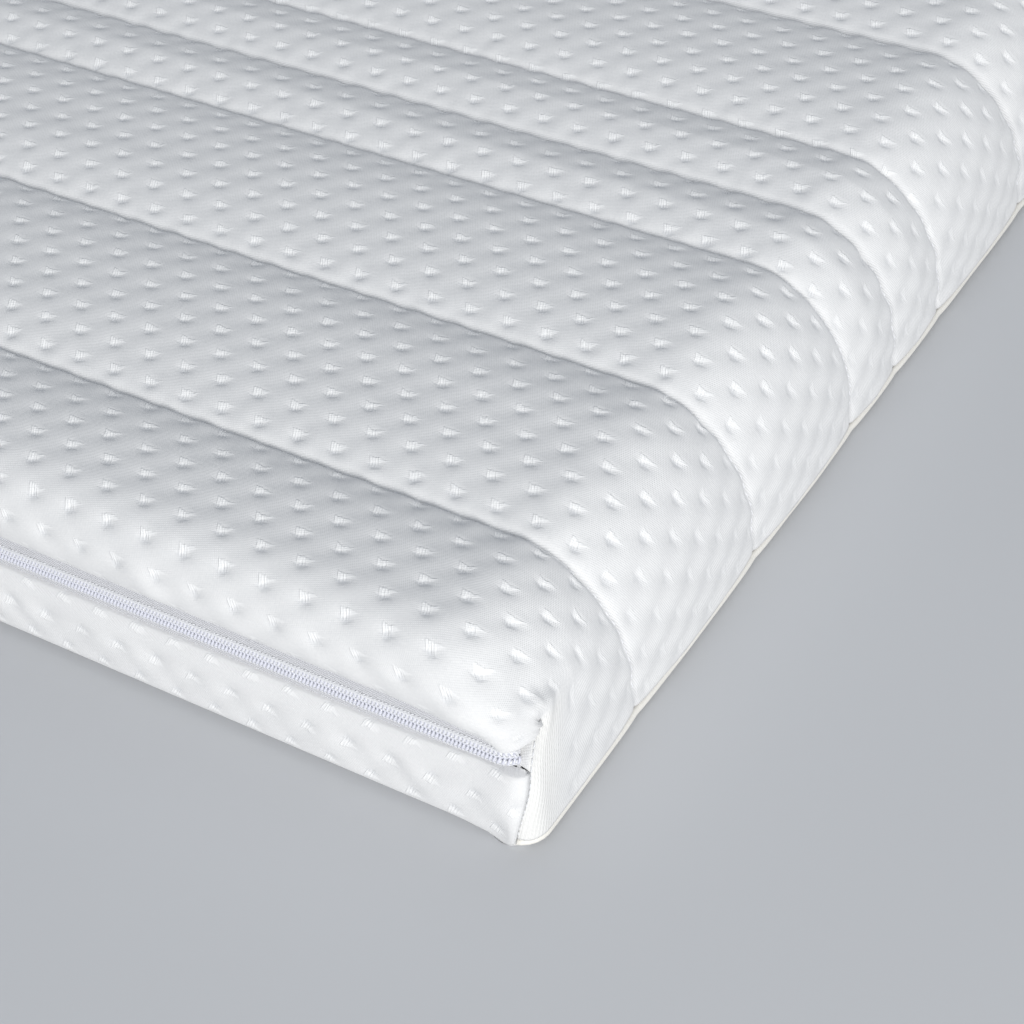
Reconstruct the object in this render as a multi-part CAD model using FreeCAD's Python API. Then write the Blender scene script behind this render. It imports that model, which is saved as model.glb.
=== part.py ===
"""Memory foam mattress in a zipped, quilted cover.

Frame: X across the width, Y along the length, Z up.  The origin is the middle of the
underside.  The zipped foot end faces -Y and the head end faces +Y.

Every ply follows one outer form, the mattress body, set in by its own depth under the
surface, so a change of length, width or layer height moves all the plies together.
"""
import FreeCAD, Part

import os

from FreeCAD import Vector

os.makedirs("parts", exist_ok=True)

# ---------------------------------------------------------------- driving sizes, mm
LENGTH = 2000.0
WIDTH = 900.0
MEMORY_FOAM_HEIGHT = 25.0
SUPPORT_FOAM_HEIGHT = 25.0

TOP_SIDE_RADIUS = 36.0        # soft upper edge of the long sides
TOP_END_RADIUS = 23.0         # upper edge of the two ends, above the zip
BOTTOM_EDGE_RADIUS = 5.0      # crisper edge that rests on the bed base
CORNER_RADIUS = 14.0          # upright corners, seen from above
LEAST_EDGE_RADIUS = 0.6       # an inner ply's edge is never sharper than this
MATCH_TOLERANCE = 1e-4        # faces this close count as one when forms are crossed

KNIT_THICKNESS = 1.2
WADDING_THICKNESS = 6.7
BACKING_THICKNESS = 0.6
SLEEVE_THICKNESS = 0.6
PLY_CLEARANCE = 0.15          # between plies that are quilted together
SLIP_CLEARANCE = 0.3          # between the cover, the sleeve and the foam

# Quilting: straight lines across the width, spaced wide or narrow.
END_CHANNEL = 67.0            # foot end to the first line
FIRST_CHANNEL = 84.0
CHANNEL_REPEAT = (77.0, 37.0, 39.5, 77.5)
LEAST_END_CHANNEL = 60.0      # the last line stays this far from the head end
QUILT_THREAD_WIDTH = 1.0
QUILT_THREAD_DEPTH = 0.8
QUILT_THREAD_SINK = 0.1       # the thread lies this far under the surface

# Seams of the cover.
CORNER_SEAM_SETBACK = 10.0    # the end flaps wrap round the corners this far
CORNER_SEAM_TOP = 54.0        # the corner seam ends in a tuck at this height
CORNER_SEAM_GAP = 0.9
SEAM_THREAD_CLEARANCE = 0.1
HEAD_SEAM_GAP = 0.9
SIDE_WELT_BOTTOM = 1.9
SIDE_WELT_HEIGHT = 2.2

# Zip, a continuous nylon coil, size 5.
TAPE_DEPTH = 6.1              # the tapes lie this far inside the foot face
TAPE_THICKNESS = 0.6
TAPE_SHOWN_ABOVE = 8.6        # from the middle of the chain to the upper flap
TAPE_SHOWN_BELOW = 6.4        # from the middle of the chain to the lower flap
TAPE_SEWN_MARGIN = 3.0        # hidden behind each flap's hem
COIL_WIDTH = 2.5
COIL_DEPTH = 1.9
COIL_HALF_GAP = 0.6           # the slider's wedge runs between the coils
COIL_ON_TAPE = 0.1
COIL_CORD_WIDTH = 1.1
COIL_CORD_DEPTH = 0.8
ZIP_STITCH_WIDTH = 0.5
ZIP_STITCH_REACH = 0.8        # into the hem, in front of the tape
ZIP_STITCH_TAIL = 0.25        # behind the tape
ZIP_STITCH_END_ROOM = 20.0    # the zip's stitching starts and stops this far from the sides

# Slider and pull tab.
SLIDER_END_ROOM = 25.0        # slider centre to the end of the mattress when shut
SLIDER_LENGTH = 13.0
SLIDER_MOUTH_FLARE = 0.5      # the mouth is this much wider than the tail, each side
SLIDER_PLATE = 1.2
SLIDER_CLEARANCE = 0.3
SLIDER_EDGE_ROUNDING = 0.4
SLIDER_FLANGE = 0.8
WEDGE_WIDTH = 0.6
WEDGE_LENGTH = 5.0
ARCH_LENGTH = 8.4
ARCH_WIDTH = 1.6
ARCH_THICKNESS = 1.0
ARCH_ROOM = 1.5               # under the arch, for the tab's crossbar
TAB_THICKNESS = 1.1
TAB_CROSSBAR_SPAN = 5.2
TAB_EYE_WIDTH = 2.4
TAB_EYE_LENGTH = 5.4
TAB_LENGTH = 27.0
TAB_END_WIDTH = 6.6
TAB_HOLE_RADIUS = 1.5

# ---------------------------------------------------------------- worked-out sizes
WADDING_DEPTH = KNIT_THICKNESS + PLY_CLEARANCE
BACKING_DEPTH = WADDING_DEPTH + WADDING_THICKNESS + PLY_CLEARANCE
SLEEVE_DEPTH = BACKING_DEPTH + BACKING_THICKNESS + SLIP_CLEARANCE
FOAM_DEPTH = SLEEVE_DEPTH + SLEEVE_THICKNESS + SLIP_CLEARANCE
HEIGHT = MEMORY_FOAM_HEIGHT + SUPPORT_FOAM_HEIGHT + 2.0 * FOAM_DEPTH
ZIP_HEIGHT = HEIGHT / 2.0
FOAM_JOIN = FOAM_DEPTH + SUPPORT_FOAM_HEIGHT
FOOT_Y = -LENGTH / 2.0
END_SEAM_Y = LENGTH / 2.0 - CORNER_SEAM_SETBACK
UPPER_FLAP_EDGE = ZIP_HEIGHT + TAPE_SHOWN_ABOVE
LOWER_FLAP_EDGE = ZIP_HEIGHT - TAPE_SHOWN_BELOW
TAPE_TOP = UPPER_FLAP_EDGE + TAPE_SEWN_MARGIN
TAPE_BOTTOM = LOWER_FLAP_EDGE - TAPE_SEWN_MARGIN
WELT_TOP = SIDE_WELT_BOTTOM + SIDE_WELT_HEIGHT
BEYOND = 50.0                 # how far cutting boxes reach past the mattress


# ---------------------------------------------------------------- basic forms
def box_between(x0, x1, y0, y1, z0, z1):
    """Box between two corners."""
    return Part.makeBox(x1 - x0, y1 - y0, z1 - z0, Vector(x0, y0, z0))


def rounded_outline(corners, radii, to_vector):
    """Closed wire through four corners, each rounded by a quarter arc.

    corners go round the outline; radii holds one radius per corner; to_vector turns a
    pair of plane coordinates into a point.
    """
    edges = []
    exits = []
    count = len(corners)
    for i in range(count):
        here = corners[i]
        before = corners[i - 1]
        after = corners[(i + 1) % count]
        r = radii[i]
        to_before = unit(before, here)
        to_after = unit(after, here)
        start = (here[0] + to_before[0] * r, here[1] + to_before[1] * r)
        end = (here[0] + to_after[0] * r, here[1] + to_after[1] * r)
        centre = (start[0] + to_after[0] * r, start[1] + to_after[1] * r)
        reach = r * (1.0 - 0.5 ** 0.5)
        inward = (to_before[0] + to_after[0], to_before[1] + to_after[1])
        middle = (here[0] + inward[0] * reach, here[1] + inward[1] * reach)
        assert abs(centre[0] - here[0] - inward[0] * r) < 1e-6
        exits.append((start, middle, end))
    for i in range(count):
        start, middle, end = exits[i]
        edges.append(Part.Arc(to_vector(start), to_vector(middle), to_vector(end)).toShape())
        following = exits[(i + 1) % count][0]
        edges.append(Part.LineSegment(to_vector(end), to_vector(following)).toShape())
    return Part.Wire(edges)


def unit(target, origin):
    """Unit vector of the plane, from origin to target."""
    dx = target[0] - origin[0]
    dy = target[1] - origin[1]
    size = (dx * dx + dy * dy) ** 0.5
    return (dx / size, dy / size)


def edge_radius(radius, inset):
    """Radius of an edge once its form is set in."""
    return max(radius - inset, LEAST_EDGE_RADIUS)


def upright_section(half_span, top_radius, inset):
    """Corners and radii of the body's section across X or Y."""
    side = half_span - inset
    low = inset
    high = HEIGHT - inset
    bottom = edge_radius(BOTTOM_EDGE_RADIUS, inset)
    top = edge_radius(top_radius, inset)
    corners = [(-side, low), (side, low), (side, high), (-side, high)]
    return corners, [bottom, bottom, top, top]


def body_form(inset):
    """The mattress body set in by inset: three crossing bars of rounded section."""
    half_x = WIDTH / 2.0
    half_y = LENGTH / 2.0
    corners, radii = upright_section(half_x, TOP_SIDE_RADIUS, inset)
    start_y = -half_y - BEYOND
    wire = rounded_outline(corners, radii, lambda p: Vector(p[0], start_y, p[1]))
    along_y = Part.Face(wire).extrude(Vector(0, LENGTH + 2.0 * BEYOND, 0))
    corners, radii = upright_section(half_y, TOP_END_RADIUS, inset)
    start_x = -half_x - BEYOND
    wire = rounded_outline(corners, radii, lambda p: Vector(start_x, p[0], p[1]))
    along_x = Part.Face(wire).extrude(Vector(WIDTH + 2.0 * BEYOND, 0, 0))
    sx = half_x - inset
    sy = half_y - inset
    corners = [(-sx, -sy), (sx, -sy), (sx, sy), (-sx, sy)]
    radii = [edge_radius(CORNER_RADIUS, inset)] * 4
    wire = rounded_outline(corners, radii, lambda p: Vector(p[0], p[1], -BEYOND))
    upright = Part.Face(wire).extrude(Vector(0, 0, HEIGHT + 2.0 * BEYOND))
    return along_y.common([along_x], MATCH_TOLERANCE).common([upright], MATCH_TOLERANCE)


FORMS = {}


def form(inset):
    """body_form, worked out once per depth."""
    key = round(inset, 6)
    if key not in FORMS:
        FORMS[key] = body_form(inset)
    return FORMS[key]


def ply(depth, thickness):
    """A layer that follows the body all round, from depth to depth + thickness."""
    return form(depth).cut(form(depth + thickness))


def fuse_all(shapes):
    """One shape from several."""
    first = shapes[0]
    if len(shapes) == 1:
        return first
    return first.fuse(shapes[1:])


# ---------------------------------------------------------------- regions of the cover
SIDE_X = WIDTH / 2.0 + BEYOND
END_Y = LENGTH / 2.0 + BEYOND
SKY = HEIGHT + BEYOND


def foot_region(z0, z1):
    """Slab of the foot end, outside the corner seams."""
    return box_between(-SIDE_X, SIDE_X, -END_Y, -END_SEAM_Y, z0, z1)


def head_region(z0, z1):
    """Slab of the head end, outside the corner seams."""
    return box_between(-SIDE_X, SIDE_X, END_SEAM_Y, END_Y, z0, z1)


def middle_region(half_width, z0, z1):
    """Slab between the corner seams."""
    return box_between(-half_width, half_width, -END_SEAM_Y, END_SEAM_Y, z0, z1)


def side_surface_inset(z):
    """How far the rounded long side lies inside the widest place, at height z."""
    rise = max(z - (HEIGHT - TOP_SIDE_RADIUS), 0.0)
    return TOP_SIDE_RADIUS - (TOP_SIDE_RADIUS ** 2 - rise ** 2) ** 0.5


def corner_slots(depth):
    """The four gaps of the corner seams, cut through the long sides' plies to a depth."""
    slots = []
    reach = depth + side_surface_inset(CORNER_SEAM_TOP) + PLY_CLEARANCE
    for y in (-END_SEAM_Y, END_SEAM_Y):
        for side in (-1, 1):
            inner = side * (WIDTH / 2.0 - reach)
            outer = side * SIDE_X
            half = CORNER_SEAM_GAP / 2.0
            slots.append(
                box_between(
                    min(inner, outer), max(inner, outer), y - half, y + half,
                    -BEYOND, CORNER_SEAM_TOP,
                )
            )
    return slots


def upper_region(foot_z, head_z, side_z):
    """What belongs to the upper half of the cover."""
    return fuse_all([
        foot_region(foot_z, SKY),
        head_region(head_z, SKY),
        middle_region(SIDE_X, side_z, SKY),
    ])


def lower_region(foot_z, head_z, side_half_width, side_z):
    """What belongs to the lower half of the cover."""
    return fuse_all([
        foot_region(-BEYOND, foot_z),
        head_region(-BEYOND, head_z),
        middle_region(side_half_width, -BEYOND, side_z),
    ])


HEAD_UPPER = ZIP_HEIGHT + HEAD_SEAM_GAP / 2.0
HEAD_LOWER = ZIP_HEIGHT - HEAD_SEAM_GAP / 2.0


# ---------------------------------------------------------------- quilting
def quilt_lines():
    """Places of the quilting lines along Y, from the foot end."""
    lines = [FOOT_Y + END_CHANNEL]
    place = FOOT_Y + END_CHANNEL + FIRST_CHANNEL
    step = 0
    while place < LENGTH / 2.0 - LEAST_END_CHANNEL:
        lines.append(place)
        place += CHANNEL_REPEAT[step % len(CHANNEL_REPEAT)]
        step += 1
    return lines


def quilt_slabs(width):
    """One thin slab across the mattress on each quilting line."""
    slabs = []
    for y in quilt_lines():
        slabs.append(box_between(-SIDE_X, SIDE_X, y - width / 2.0, y + width / 2.0, -BEYOND, SKY))
    return Part.makeCompound(slabs)


# ---------------------------------------------------------------- foam and sleeve
def memory_foam_layer():
    """Upper foam, visco-elastic."""
    above = box_between(-SIDE_X, SIDE_X, -END_Y, END_Y, FOAM_JOIN, SKY)
    return form(FOAM_DEPTH).common(above)


def support_foam_layer():
    """Lower foam, firmer."""
    below = box_between(-SIDE_X, SIDE_X, -END_Y, END_Y, -BEYOND, FOAM_JOIN)
    return form(FOAM_DEPTH).common(below)


def foam_sleeve():
    """Thin knitted sock, closed round the foam."""
    return ply(SLEEVE_DEPTH, SLEEVE_THICKNESS)


# ---------------------------------------------------------------- quilted cover
def hem(z0, z1):
    """Folded knit between a flap's edge and the zip tape."""
    fold = ply(0.0, TAPE_DEPTH - COIL_ON_TAPE)
    return fold.common(foot_region(z0, z1))


def upper_knit_blank():
    """Upper knit before its thread grooves: top, long sides and two end flaps."""
    skin = ply(0.0, KNIT_THICKNESS)
    panel = skin.common(upper_region(UPPER_FLAP_EDGE, HEAD_UPPER, WELT_TOP))
    panel = panel.fuse(hem(UPPER_FLAP_EDGE, TAPE_TOP))
    return panel.cut(corner_slots(TAPE_DEPTH))


def lower_knit_blank():
    """Lower knit before its thread grooves: underside and two end flaps."""
    skin = ply(0.0, KNIT_THICKNESS)
    region = lower_region(LOWER_FLAP_EDGE, HEAD_LOWER, SIDE_X, SIDE_WELT_BOTTOM)
    panel = skin.common(region)
    panel = panel.fuse(hem(TAPE_BOTTOM, LOWER_FLAP_EDGE))
    return panel.cut(corner_slots(TAPE_DEPTH))


def quilting_thread(blank):
    """Threads of one panel, one solid per line."""
    band = ply(QUILT_THREAD_SINK, QUILT_THREAD_DEPTH)
    return band.common(quilt_slabs(QUILT_THREAD_WIDTH)).common(blank)


def grooved(blank):
    """Panel with a groove for each quilting thread."""
    band = form(0.0).cut(form(QUILT_THREAD_SINK + QUILT_THREAD_DEPTH))
    groove = band.common(quilt_slabs(QUILT_THREAD_WIDTH))
    return blank.cut(groove)


def upper_inner_ply(depth, thickness):
    """Wadding or backing of the upper half."""
    side_reach = BACKING_DEPTH + BACKING_THICKNESS + PLY_CLEARANCE
    region = fuse_all([
        foot_region(TAPE_TOP + PLY_CLEARANCE, SKY),
        head_region(HEAD_UPPER, SKY),
        middle_region(SIDE_X, ZIP_HEIGHT, SKY),
        side_wall_region(-1, side_reach),
        side_wall_region(1, side_reach),
    ])
    return ply(depth, thickness).common(region)


def side_wall_region(side, reach):
    """Slab down one long side, as deep as the quilted plies."""
    inner = side * (WIDTH / 2.0 - reach)
    outer = side * SIDE_X
    low = min(inner, outer)
    high = max(inner, outer)
    return box_between(low, high, -END_SEAM_Y, END_SEAM_Y, KNIT_THICKNESS, ZIP_HEIGHT)


def lower_inner_ply(depth, thickness):
    """Wadding or backing of the lower half."""
    reach = BACKING_DEPTH + BACKING_THICKNESS + 2.0 * PLY_CLEARANCE
    region = lower_region(
        TAPE_BOTTOM - PLY_CLEARANCE, HEAD_LOWER, WIDTH / 2.0 - reach, ZIP_HEIGHT
    )
    return ply(depth, thickness).common(region)


def side_seam_welt(side):
    """Turned seam where a long side is sewn to the underside; side is -1 or 1."""
    inner = side * WIDTH / 4.0
    outer = side * SIDE_X
    strip = box_between(
        min(inner, outer), max(inner, outer),
        -END_SEAM_Y + CORNER_SEAM_GAP / 2.0, END_SEAM_Y - CORNER_SEAM_GAP / 2.0,
        SIDE_WELT_BOTTOM, WELT_TOP,
    )
    return ply(0.0, KNIT_THICKNESS).common(strip)


def corner_seam_thread():
    """Thread in the four corner seams."""
    skin = ply(QUILT_THREAD_SINK, KNIT_THICKNESS - QUILT_THREAD_SINK)
    gap = CORNER_SEAM_GAP / 2.0 - SEAM_THREAD_CLEARANCE
    threads = []
    for y in (-END_SEAM_Y, END_SEAM_Y):
        for side in (-1, 1):
            inner = side * WIDTH / 4.0
            outer = side * SIDE_X
            region = box_between(
                min(inner, outer), max(inner, outer), y - gap, y + gap,
                WELT_TOP, CORNER_SEAM_TOP - SEAM_THREAD_CLEARANCE,
            )
            threads.append(skin.common(region))
    return Part.makeCompound(threads)


def head_seam_thread():
    """Thread of the seam that closes the head end."""
    skin = ply(QUILT_THREAD_SINK, KNIT_THICKNESS - QUILT_THREAD_SINK)
    low = HEAD_LOWER + SEAM_THREAD_CLEARANCE
    high = HEAD_UPPER - SEAM_THREAD_CLEARANCE
    inside = END_SEAM_Y + CORNER_SEAM_GAP / 2.0
    region = box_between(-SIDE_X, SIDE_X, inside, END_Y, low, high)
    return skin.common(region)


# ---------------------------------------------------------------- zip
def zip_region(z0, z1):
    """Foot end between two heights, inside the corner seams."""
    inside = END_SEAM_Y + CORNER_SEAM_GAP / 2.0
    return box_between(-SIDE_X, SIDE_X, -END_Y, -inside, z0, z1)


def zip_stitching(flap_edge, away):
    """Lockstitch through a flap's hem and its tape; away is 1 above the zip, -1 below."""
    middle = flap_edge + away * TAPE_SEWN_MARGIN / 2.0
    half = ZIP_STITCH_WIDTH / 2.0
    depth = TAPE_DEPTH - ZIP_STITCH_REACH
    reach = ZIP_STITCH_REACH + TAPE_THICKNESS + ZIP_STITCH_TAIL
    end = WIDTH / 2.0 - ZIP_STITCH_END_ROOM
    row = box_between(-end, end, -END_Y, -END_SEAM_Y, middle - half, middle + half)
    return ply(depth, reach).common(row)


def zip_tape(z_inner, z_outer, stitching):
    """Woven tape from beside the wedge's path to the hem, pierced by its stitching."""
    tape = ply(TAPE_DEPTH, TAPE_THICKNESS).common(
        zip_region(min(z_inner, z_outer), max(z_inner, z_outer))
    )
    return tape.cut(stitching)


def coil_cord(away):
    """Filler cord inside one coil."""
    middle = ZIP_HEIGHT + away * (COIL_HALF_GAP + COIL_WIDTH / 2.0)
    half = COIL_CORD_WIDTH / 2.0
    depth = TAPE_DEPTH - COIL_ON_TAPE - COIL_DEPTH / 2.0 - COIL_CORD_DEPTH / 2.0
    return ply(depth, COIL_CORD_DEPTH).common(zip_region(middle - half, middle + half))


def zip_coil(away, cord):
    """Envelope of one coil row, hollow for its cord."""
    near = ZIP_HEIGHT + away * COIL_HALF_GAP
    far = near + away * COIL_WIDTH
    depth = TAPE_DEPTH - COIL_ON_TAPE - COIL_DEPTH
    row = ply(depth, COIL_DEPTH).common(zip_region(min(near, far), max(near, far)))
    return row.cut(cord)


# ---------------------------------------------------------------- slider and pull tab
SLIDER_X = -(WIDTH / 2.0 - SLIDER_END_ROOM)
TAPE_Y = FOOT_Y + TAPE_DEPTH
COIL_Y = TAPE_Y - COIL_ON_TAPE - COIL_DEPTH
FRONT_PLATE_Y = COIL_Y - SLIDER_CLEARANCE - SLIDER_PLATE
BACK_PLATE_Y = TAPE_Y + TAPE_THICKNESS + SLIDER_CLEARANCE
TAB_AXIS_Y = FRONT_PLATE_Y - ARCH_ROOM / 2.0
FLANGE_INNER = COIL_HALF_GAP + COIL_WIDTH + SLIDER_CLEARANCE
SLIDER_TAIL_HALF = FLANGE_INNER + SLIDER_FLANGE
SLIDER_MOUTH_HALF = SLIDER_TAIL_HALF + SLIDER_MOUTH_FLARE


def slider_plate(y0):
    """One shield-shaped plate; the mouth is at its -X end."""
    half = SLIDER_LENGTH / 2.0
    mouth = SLIDER_MOUTH_HALF
    tail = SLIDER_TAIL_HALF
    points = [
        (-half, -mouth), (0.0, -mouth), (half, -tail),
        (half, tail), (0.0, mouth), (-half, mouth),
    ]
    vectors = [Vector(SLIDER_X + x, y0, ZIP_HEIGHT + z) for x, z in points]
    outline = Part.makePolygon(vectors + [vectors[0]])
    plate = Part.Face(outline).extrude(Vector(0, SLIDER_PLATE, 0))
    return plate.makeFillet(SLIDER_EDGE_ROUNDING, plate.Edges)


def slider_flange(side):
    """Edge of the front plate, turned back beside the coils."""
    low = ZIP_HEIGHT + side * FLANGE_INNER
    high = ZIP_HEIGHT + side * (SLIDER_TAIL_HALF - SLIDER_EDGE_ROUNDING)
    half = SLIDER_LENGTH / 2.0 - SLIDER_EDGE_ROUNDING
    return box_between(
        SLIDER_X - half, SLIDER_X + half,
        FRONT_PLATE_Y + SLIDER_PLATE / 2.0, TAPE_Y - SLIDER_CLEARANCE,
        min(low, high), max(low, high),
    )


def zip_slider_body():
    """Two plates joined by the wedge, with side flanges and the arch for the tab."""
    wedge_start = SLIDER_X - SLIDER_LENGTH / 2.0 + SLIDER_EDGE_ROUNDING
    wedge = box_between(
        wedge_start, wedge_start + WEDGE_LENGTH,
        FRONT_PLATE_Y + SLIDER_PLATE / 2.0, BACK_PLATE_Y + SLIDER_PLATE / 2.0,
        ZIP_HEIGHT - WEDGE_WIDTH / 2.0, ZIP_HEIGHT + WEDGE_WIDTH / 2.0,
    )
    body = fuse_all([
        slider_plate(FRONT_PLATE_Y), slider_plate(BACK_PLATE_Y), wedge,
        slider_flange(-1), slider_flange(1), slider_arch(),
    ])
    return body.removeSplitter()


def slider_arch():
    """Round-shouldered bridge along X over the tab's crossbar."""
    rise = ARCH_ROOM + ARCH_THICKNESS
    foot = SLIDER_PLATE / 2.0
    half = ARCH_LENGTH / 2.0
    bridge = box_between(
        SLIDER_X - half, SLIDER_X + half, FRONT_PLATE_Y - rise, FRONT_PLATE_Y + foot,
        ZIP_HEIGHT - ARCH_WIDTH / 2.0, ZIP_HEIGHT + ARCH_WIDTH / 2.0,
    )
    shoulders = []
    for edge in bridge.Edges:
        middle = edge.CenterOfMass
        along_z = abs(edge.Vertexes[0].Z - edge.Vertexes[1].Z) > ARCH_WIDTH / 2.0
        if along_z and middle.y < FRONT_PLATE_Y - ARCH_ROOM:
            shoulders.append(edge)
    bridge = bridge.makeFillet(ARCH_ROOM, shoulders)
    opening = box_between(
        SLIDER_X - half + ARCH_THICKNESS, SLIDER_X + half - ARCH_THICKNESS,
        FRONT_PLATE_Y - ARCH_ROOM, FRONT_PLATE_Y,
        ZIP_HEIGHT - ARCH_WIDTH, ZIP_HEIGHT + ARCH_WIDTH,
    )
    return bridge.cut(opening)


def zip_pull_tab():
    """Flat tab; its crossbar turns under the arch about an axis along Z."""
    y0 = TAB_AXIS_Y - TAB_THICKNESS / 2.0
    radius = TAB_THICKNESS / 2.0
    half_eye = TAB_CROSSBAR_SPAN / 2.0
    crossbar = Part.makeCylinder(
        radius, TAB_CROSSBAR_SPAN, Vector(SLIDER_X, TAB_AXIS_Y, ZIP_HEIGHT - half_eye)
    )
    half_end = TAB_END_WIDTH / 2.0
    neck = TAB_EYE_LENGTH
    end = TAB_LENGTH - half_end
    points = [
        Vector(SLIDER_X, y0, ZIP_HEIGHT - half_eye),
        Vector(SLIDER_X + neck, y0, ZIP_HEIGHT - half_eye),
        Vector(SLIDER_X + end, y0, ZIP_HEIGHT - half_end),
        Vector(SLIDER_X + end, y0, ZIP_HEIGHT + half_end),
        Vector(SLIDER_X + neck, y0, ZIP_HEIGHT + half_eye),
        Vector(SLIDER_X, y0, ZIP_HEIGHT + half_eye),
    ]
    edges = []
    for i in range(len(points)):
        a = points[i]
        b = points[(i + 1) % len(points)]
        if i == 2:
            tip = Vector(SLIDER_X + end + half_end, y0, ZIP_HEIGHT)
            edges.append(Part.Arc(a, tip, b).toShape())
        else:
            edges.append(Part.LineSegment(a, b).toShape())
    blade = Part.Face(Part.Wire(edges)).extrude(Vector(0, TAB_THICKNESS, 0))
    eye = box_between(
        SLIDER_X - radius, SLIDER_X + TAB_EYE_LENGTH, y0 - 1.0, y0 + TAB_THICKNESS + 1.0,
        ZIP_HEIGHT - TAB_EYE_WIDTH / 2.0, ZIP_HEIGHT + TAB_EYE_WIDTH / 2.0,
    )
    hole = Part.makeCylinder(
        TAB_HOLE_RADIUS, TAB_THICKNESS + 2.0,
        Vector(SLIDER_X + end, y0 - 1.0, ZIP_HEIGHT), Vector(0, 1, 0),
    )
    return blade.cut(eye).cut(hole).fuse(crossbar).removeSplitter()


# ---------------------------------------------------------------- writing the parts
def write(node, shape):
    """Check a sub-part and write its STEP file."""
    solids = shape.Solids
    assert solids, node + " has no solid"
    assert all(solid.isValid() for solid in solids), node + " is not valid"
    kept = solids[0] if len(solids) == 1 else Part.makeCompound(solids)
    kept.exportStep("parts/" + node + ".step")
    box = kept.BoundBox
    print("%-24s solids %3d  volume %12.1f  z %.2f to %.2f" % (
        node, len(solids), kept.Volume, box.ZMin, box.ZMax))


def main():
    write("memory_foam_layer", memory_foam_layer())
    write("support_foam_layer", support_foam_layer())
    write("foam_sleeve", foam_sleeve())

    halves = (
        ("top", upper_knit_blank(), upper_inner_ply),
        ("bottom", lower_knit_blank(), lower_inner_ply),
    )
    stitching = {
        1: zip_stitching(UPPER_FLAP_EDGE, 1),
        -1: zip_stitching(LOWER_FLAP_EDGE, -1),
    }
    all_stitching = Part.makeCompound(list(stitching.values()))
    for name, blank, inner_ply in halves:
        write(name + "_cover_knit", grooved(blank).cut(all_stitching))
        write(name + "_cover_wadding", inner_ply(WADDING_DEPTH, WADDING_THICKNESS))
        write(name + "_cover_backing", inner_ply(BACKING_DEPTH, BACKING_THICKNESS))
        write(name + "_quilting_thread", quilting_thread(blank))

    write("side_seam_welt_left", side_seam_welt(-1))
    write("side_seam_welt_right", side_seam_welt(1))
    write("corner_seam_thread", corner_seam_thread())
    write("head_seam_thread", head_seam_thread())

    for name, away, tape_edge in (("upper", 1, TAPE_TOP), ("lower", -1, TAPE_BOTTOM)):
        cord = coil_cord(away)
        tape_start = ZIP_HEIGHT + away * COIL_HALF_GAP
        write("zip_tape_" + name, zip_tape(tape_start, tape_edge, stitching[away]))
        write("zip_coil_" + name, zip_coil(away, cord))
        write("zip_coil_cord_" + name, cord)
        write("zip_stitching_" + name, stitching[away])

    write("zip_slider_body", zip_slider_body())
    write("zip_pull_tab", zip_pull_tab())


main()
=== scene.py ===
"""Looks of a thin foam mattress in a quilted, zipped knit cover.

Everything is in metres in the frame of the CAD model: X across the width, Y along the
length with the zipped foot end at -Y, Z up.  The cover is two quilted panels, each laid
out on a grid of (s, t): s is the way across the width measured along the cloth, t is the
way along the length.  Each panel is a rounded form that is then pushed in or out along
its normals by the quilting, the dimples of the knit, its seams and its folds.
"""

import math

import bpy
import numpy as np
from mathutils import Matrix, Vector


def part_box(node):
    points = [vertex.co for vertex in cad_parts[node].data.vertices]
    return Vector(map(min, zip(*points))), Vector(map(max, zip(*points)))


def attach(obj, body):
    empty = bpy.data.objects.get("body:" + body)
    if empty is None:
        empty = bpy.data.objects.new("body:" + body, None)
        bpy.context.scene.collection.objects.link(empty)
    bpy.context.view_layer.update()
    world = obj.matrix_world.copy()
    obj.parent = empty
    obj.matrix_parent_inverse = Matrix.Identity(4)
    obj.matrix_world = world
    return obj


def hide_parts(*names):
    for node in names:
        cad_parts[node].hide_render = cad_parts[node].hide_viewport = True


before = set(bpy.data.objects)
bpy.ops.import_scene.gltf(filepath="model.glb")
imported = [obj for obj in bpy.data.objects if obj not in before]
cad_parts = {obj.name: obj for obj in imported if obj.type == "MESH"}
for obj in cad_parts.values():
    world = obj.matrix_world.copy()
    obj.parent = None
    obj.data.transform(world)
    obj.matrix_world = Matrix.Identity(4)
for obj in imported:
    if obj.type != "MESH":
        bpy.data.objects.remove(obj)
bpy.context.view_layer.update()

MM = 0.001

# ---- sizes from the frame
_, KNIT_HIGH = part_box("top_cover_knit")
HALF_X = KNIT_HIGH.x
HALF_Y = KNIT_HIGH.y
HEIGHT = KNIT_HIGH.z
TAPE_UPPER_LOW, TAPE_UPPER_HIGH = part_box("zip_tape_upper")
TAPE_LOWER_LOW, TAPE_LOWER_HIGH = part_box("zip_tape_lower")
WELT_LOW, WELT_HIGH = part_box("side_seam_welt_right")
HEAD_SEAM_LOW, HEAD_SEAM_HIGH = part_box("head_seam_thread")
ZIP_Z = (TAPE_UPPER_LOW.z + TAPE_LOWER_HIGH.z) / 2
SEWN_MARGIN = 3.0 * MM
UPPER_FLAP_EDGE = TAPE_UPPER_HIGH.z - SEWN_MARGIN
LOWER_FLAP_EDGE = TAPE_LOWER_LOW.z + SEWN_MARGIN
SEAM_Y = HALF_Y - 10.0 * MM           # the corner seams run down the sides here
SEAM_TOP = 46.5 * MM                  # the corner seams start at this height

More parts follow.
